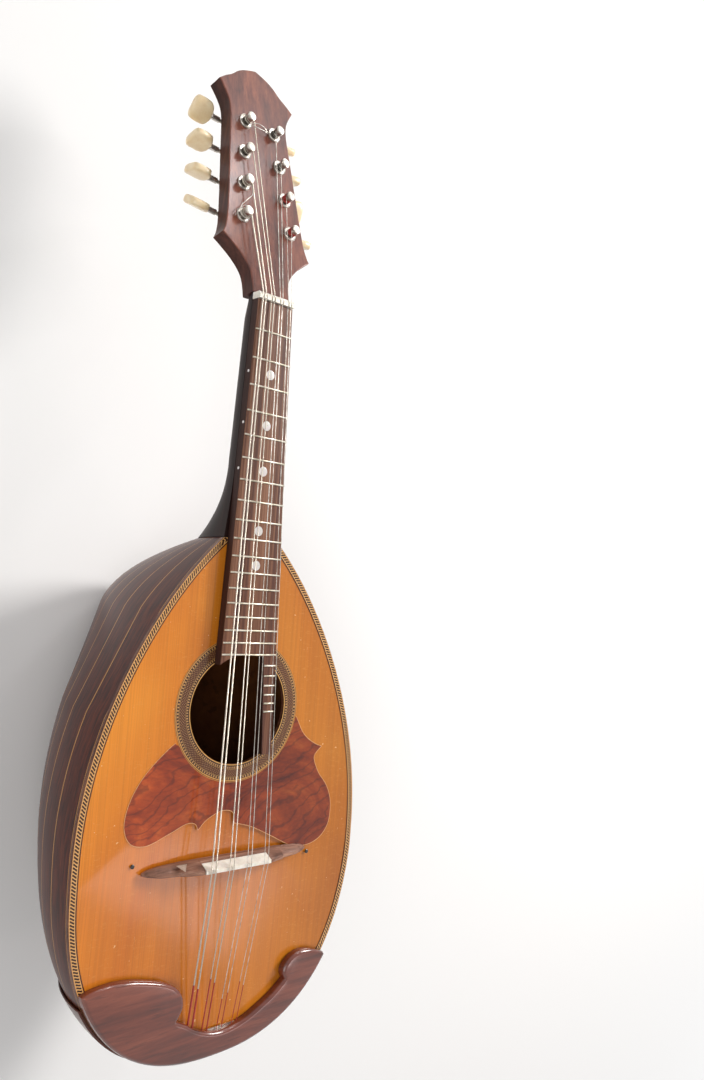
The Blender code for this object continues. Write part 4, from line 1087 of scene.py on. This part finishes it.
def buildPlates():
    for name in ("bass_tuner_plate", "treble_tuner_plate"):
        dress(name, "nickel", 0.00008, 1)
    rims, linings, screws = bmesh.new(), bmesh.new(), bmesh.new()
    between = -posts["pitch"] / 2
    under = -head["thickness"] - body["gap"] - machines["plate"]
    for number in range(2 * posts["perSide"]):
        matrix = postFrame(number)
        turned(machines["ferrule"], 40, matrix, rims, False)
        turned(machines["lining"], 40, matrix, linings, False)
        endPost = number % posts["perSide"] == 0
        for along in ((machines["endScrew"], between + machines["screwShift"]) if endPost else (between,)):
            turned(machines["screw"], 16, matrix @ moved(0, along, under) @ spun(pi, "X"), screws)
    solid("ferruleRims", rims, look["nickel"], 50)
    solid("ferruleLinings", linings, look["darkNickel"], 50)
    solid("plateScrews", screws, look["nickel"], 40)


def buildPosts():
    top = posts["height"]
    for number in range(2 * posts["perSide"]):
        matrix = postFrame(number)
        ridesOn = "post_%d" % (number + 1)
        dress("string_post_%d" % (number + 1), "darkNickel", 0.00006, 1)
        cap = [(radius, top + height) for radius, height in machines["cap"]]
        solid("postCap%d" % (number + 1), turned(cap, 36, matrix), look["nickel"], 40, ridesOn=ridesOn)
        shape = turned(machines["collar"], 28, matrix)
        rings = []
        for z in (machines["fluteFrom"], top - machines["fluteBelowTop"]):
            ring = []
            for k in range(machines["flutes"] * 2):
                a, r = pi * k / machines["flutes"], machines["fluteRadii"][k % 2]
                ring.append(matrix @ Vector((r * cos(a), r * sin(a), z)))
            rings.append(ring)
        loft(rings, shape=shape)
        solid("postRibs%d" % (number + 1), shape, look["darkNickel"], 25, ridesOn=ridesOn)
        dress("worm_shaft_%d" % (number + 1), "nickel")


# Buttons: "turns" are the degrees in which they stand in the photo, "form" has shares of the
# length, width and thickness

button = {
    "start": 0.0155, "length": 0.0142, "wide": 0.0080, "thick": 0.0029, "centre": 0.0062, "sides": 48,
    "square": (0.58, 0.55), "turns": (52, 70, 92, 130, 118, 31, 111, 128),
    "form": ((0.0, 0.12, 0.30), (0.0, 0.40, 0.66), (0.012, 0.47, 0.80), (0.05, 0.60, 0.92), (0.11, 0.78, 0.98),
             (0.19, 0.91, 1.0), (0.32, 0.98, 1.0), (0.50, 1.0, 1.0), (0.72, 0.995, 1.0), (0.84, 0.965, 0.99),
             (0.91, 0.90, 0.96), (0.96, 0.80, 0.88), (0.988, 0.69, 0.74), (1.0, 0.58, 0.52), (1.0, 0.20, 0.16)),
    "collar": ((0.0014, 0.0142), (0.0021, 0.0144), (0.0023, 0.0149), (0.0021, 0.0154), (0.0014, 0.0156)),
}


def squared(value, power):
    return abs(value) ** power * (1 if value > 0 else -1)


def buildButtons():
    across, through = button["square"]
    for number in range(2 * posts["perSide"]):
        ridesOn = "worm_%d" % (number + 1)
        shaft = machineFrame(number) @ moved(0, button["centre"], 0)
        matrix = shaft @ spun(radians(button["turns"][number]), "X")
        rings = []
        for reach, wide, thick in button["form"]:
            ring = []
            for k in range(button["sides"]):
                a = 2 * pi * k / button["sides"]
                x = button["start"] + reach * button["length"]
                y = button["wide"] * wide * squared(cos(a), across)
                z = button["thick"] * thick * squared(sin(a), through)
                ring.append(matrix @ Vector((x, y, z)))
            rings.append(ring)
        replaced = ("button_%d" % (number + 1),)
        solid("creamButton%d" % (number + 1), loft(rings), look["ivory"], 60, replaced, ridesOn)
        shape = turned(button["collar"], 20, shaft @ spun(pi / 2, "Y"))
        solid("buttonCollar%d" % (number + 1), shape, look["nickel"], 50, ridesOn=ridesOn)


buildHead()
buildPlates()
buildPosts()
buildButtons()
print("stage: head and machines")


# Strings: the solids' own, with red silk at their ends

strings = {
    "names": ("g_string_1", "g_string_2", "d_string_1", "d_string_2",
              "a_string_1", "a_string_2", "e_string_1", "e_string_2"),
    "gauges": (0.00097, 0.00066, 0.00042, 0.00034), "woundCount": 4,
    "hookAt": 0.4416, "hookLane": 0.0109, "hookPair": 0.0036, "hookHeight": 0.0020,
    "saddleAt": 0.3424, "saddleLane": 0.0130, "saddlePair": 0.00297, "saddleHeight": 0.0130,
    "silk": (0.33, 0.30, 0.34, 0.31, 0.19, 0.22, 0.27, 0.24), "silkThick": 0.00004,
}
postSilk = {"posts": (4, 5), "perTurn": 16, "steps": 72, "radius": 0.00262, "from": 0.0016, "rise": 0.0036,
            "thick": 0.00034}


def tube(name, points, radius, material):
    curve = bpy.data.curves.new(name, "CURVE")
    curve.dimensions = "3D"
    curve.bevel_depth = radius
    curve.bevel_resolution = 3
    curve.use_fill_caps = True
    spline = curve.splines.new("POLY")
    spline.points.add(len(points) - 1)
    for point, spot in zip(spline.points, points):
        point.co = (*spot, 1)
    curve.materials.append(material)
    piece = bpy.data.objects.new(name, curve)
    bpy.context.scene.collection.objects.link(piece)
    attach(piece, root)


def buildStrings():
    for number, name in enumerate(strings["names"]):
        dress(name, "wound" if number < strings["woundCount"] else "steel")
        course, second = divmod(number, 2)
        lane, side = course - 1.5, second - 0.5
        radius = strings["gauges"][course] / 2
        low = place(lane * strings["hookLane"] + side * strings["hookPair"], strings["hookAt"],
                    strings["hookHeight"] - radius)
        high = place(lane * strings["saddleLane"] + side * strings["saddlePair"], strings["saddleAt"],
                     strings["saddleHeight"] + radius)
        route = [low.lerp(high, t * strings["silk"][number] / 10) for t in range(11)]
        tube("silk_" + name, route, radius + strings["silkThick"], look["silk"])


def buildPostSilk():
    # Silk wound on the two lower treble posts
    for number in postSilk["posts"]:
        turns = []
        for k in range(postSilk["steps"] + 1):
            a, r = 2 * pi * k / postSilk["perTurn"], postSilk["radius"]
            z = postSilk["from"] + postSilk["rise"] * k / postSilk["steps"]
            turns.append(postFrame(number) @ Vector((r * cos(a), r * sin(a), z)))
        tube("postSilk%d" % (number + 1), turns, postSilk["thick"], look["silk"])


# Loose ends of wire on the face of the head, in its own frame

wireThick = 0.00020
wires = {
    "curlWire": ("steel", [
        (-0.0142, 0.0725, 0.0040), (-0.0135, 0.0680, 0.0052), (-0.0150, 0.0625, 0.0060),
        (-0.0195, 0.0575, 0.0062), (-0.0232, 0.0530, 0.0050), (-0.0232, 0.0485, 0.0036),
        (-0.0195, 0.0466, 0.0036), (-0.0160, 0.0482, 0.0046), (-0.0176, 0.0520, 0.0060),
        (-0.0212, 0.0535, 0.0056), (-0.0236, 0.0505, 0.0030), (-0.0258, 0.0470, 0.0010)]),
    "crossWire": ("steel", [
        (-0.0085, 0.1178, 0.0030), (-0.0040, 0.1188, 0.0042), (0.0008, 0.1182, 0.0040),
        (0.0048, 0.1168, 0.0026), (0.0010, 0.1168, 0.0030), (-0.0045, 0.1162, 0.0036),
        (-0.0082, 0.1172, 0.0026)]),
    "redWire": ("silk", [
        (0.0148, 0.0738, 0.0030), (0.0118, 0.0702, 0.0044), (0.0108, 0.0650, 0.0044),
        (0.0118, 0.0596, 0.0034), (0.0142, 0.0556, 0.0026), (0.0162, 0.0530, 0.0022)]),
}


def buildWires():
    for name, (material, points) in wires.items():
        tube(name, [headMatrix() @ Vector(p) for p in curveThrough(points, 6)], wireThick, look[material])


buildStrings()
buildPostSilk()
buildWires()
print("stage: strings")


# Floor and backdrop

stage = {"half": 12.0, "under": 0.0005, "tone": 0.86, "fadeOver": 3.0, "fade": [(0.17, 0.0), (0.5, 1.0)],
         "roomLight": 0.34}


def seenRay(tree):
    # 1 for rays from the camera and for what shiny or clear surfaces show, else 0
    rays = tree.nodes.new("ShaderNodeLightPath").outputs
    total = plus(tree, rays["Is Camera Ray"], rays["Is Glossy Ray"])
    return maths(tree, "MINIMUM", plus(tree, total, rays["Is Transmission Ray"]), 1.0)


def floorMaterial():
    made, tree, shader = startMaterial("paleFloor", 0.8, specular=0.2)
    shader.inputs["Base Color"].default_value = (stage["tone"], stage["tone"], stage["tone"], 1)
    # Far from the object the floor runs over into the white of the backdrop
    spread = shade(tree, "VectorMath", {0: objectSpot(tree)}, 1, operation="LENGTH")
    fade = ramp(tree, maths(tree, "DIVIDE", spread, stage["fadeOver"]), stage["fade"], "EASE")
    white = shade(tree, "Emission", {"Color": (1, 1, 1, 1), "Strength": 1.0})
    mixed = shade(tree, "MixShader", {0: times(tree, fade, seenRay(tree)), 1: shader.outputs[0], 2: white})
    tree.links.new(mixed, tree.nodes["Material Output"].inputs[0])
    return made


def buildStage():
    half = stage["half"]
    shape = bmesh.new()
    corners = ((-half, -half), (half, -half), (half, half), (-half, half))
    shape.faces.new([shape.verts.new((x, y, -stage["under"])) for x, y in corners])
    mesh = bpy.data.meshes.new("paleFloor")
    shape.to_mesh(mesh)
    shape.free()
    mesh.materials.append(floorMaterial())
    floor = bpy.data.objects.new("paleFloor", mesh)
    bpy.context.scene.collection.objects.link(floor)
    world = bpy.data.worlds.new("studio")
    bpy.context.scene.world = world
    world.use_nodes = True
    sky = world.node_tree.nodes["Background"].inputs
    sky["Color"].default_value = (1, 1, 1, 1)
    # The light of the room is weaker than the white that the camera sees
    seen, room = seenRay(world.node_tree), stage["roomLight"]
    world.node_tree.links.new(maths(world.node_tree, "MULTIPLY_ADD", seen, 1 - room, room), sky["Strength"])


# Lamps: the small cards stand where the varnish mirrors them towards the camera

lamps = {
    "keySoft": {
        "spot": (1.27, 0.70, 1.07), "aim": (0, 0.05, 0.13), "size": (0.50, 0.50),
        "power": 26, "tint": (1.0, 0.97, 0.94)},
    "fillSoft": {
        "spot": (-1.3, -0.3, 1.5), "aim": (0, 0, 0.1), "size": (1.4, 1.4),
        "power": 15, "tint": (1.0, 0.99, 0.97)},
    "headCard": {
        "spot": (0.700, 1.290, 0.990), "aim": (-0.026, 0.275, 0.131), "size": (0.12, 0.30),
        "power": 2.1, "tint": (1.0, 0.95, 0.95)},
    "edgeCard": {
        "spot": (0.85, 1.35, 0.42), "aim": (-0.03, -0.18, 0.145), "size": (1.0, 0.35),
        "power": 4.0, "tint": (1.0, 0.97, 0.95)},
    "warmCard": {
        "spot": (0.773, -0.620, 1.200), "aim": (-0.0130, -0.1570, 0.1415), "size": (0.18, 0.24),
        "power": 0.65, "tint": (1.0, 0.80, 0.78)},
}


def softLight(name, spot, aim, size, power, tint):
    data = bpy.data.lights.new(name, "AREA")
    data.shape = "RECTANGLE"
    data.size, data.size_y = size
    data.energy = power
    data.color = tint
    lamp = bpy.data.objects.new(name, data)
    bpy.context.scene.collection.objects.link(lamp)
    lamp.location = spot
    lamp.rotation_euler = (Vector(aim) - Vector(spot)).to_track_quat("-Z", "Y").to_euler()


# Camera: its place in metres, its turn in degrees, its lens in millimetres

camera = {
    "spot": (-0.35331, 0.04565, 0.60187), "turn": (-0.4567, -43.7111, 5.5189),
    "lens": 31.3333, "sensor": 36,
}


def buildCamera():
    data = bpy.data.cameras.new("photoCamera")
    data.lens = camera["lens"]
    data.sensor_width = camera["sensor"]
    made = bpy.data.objects.new("photoCamera", data)
    bpy.context.scene.collection.objects.link(made)
    made.location = camera["spot"]
    made.rotation_euler = [radians(angle) for angle in camera["turn"]]
    bpy.context.scene.camera = made


buildStage()
for name, values in lamps.items():
    softLight(name, **values)
buildCamera()
bpy.context.scene.view_settings.view_transform = "Standard"
print("stage: light and camera")
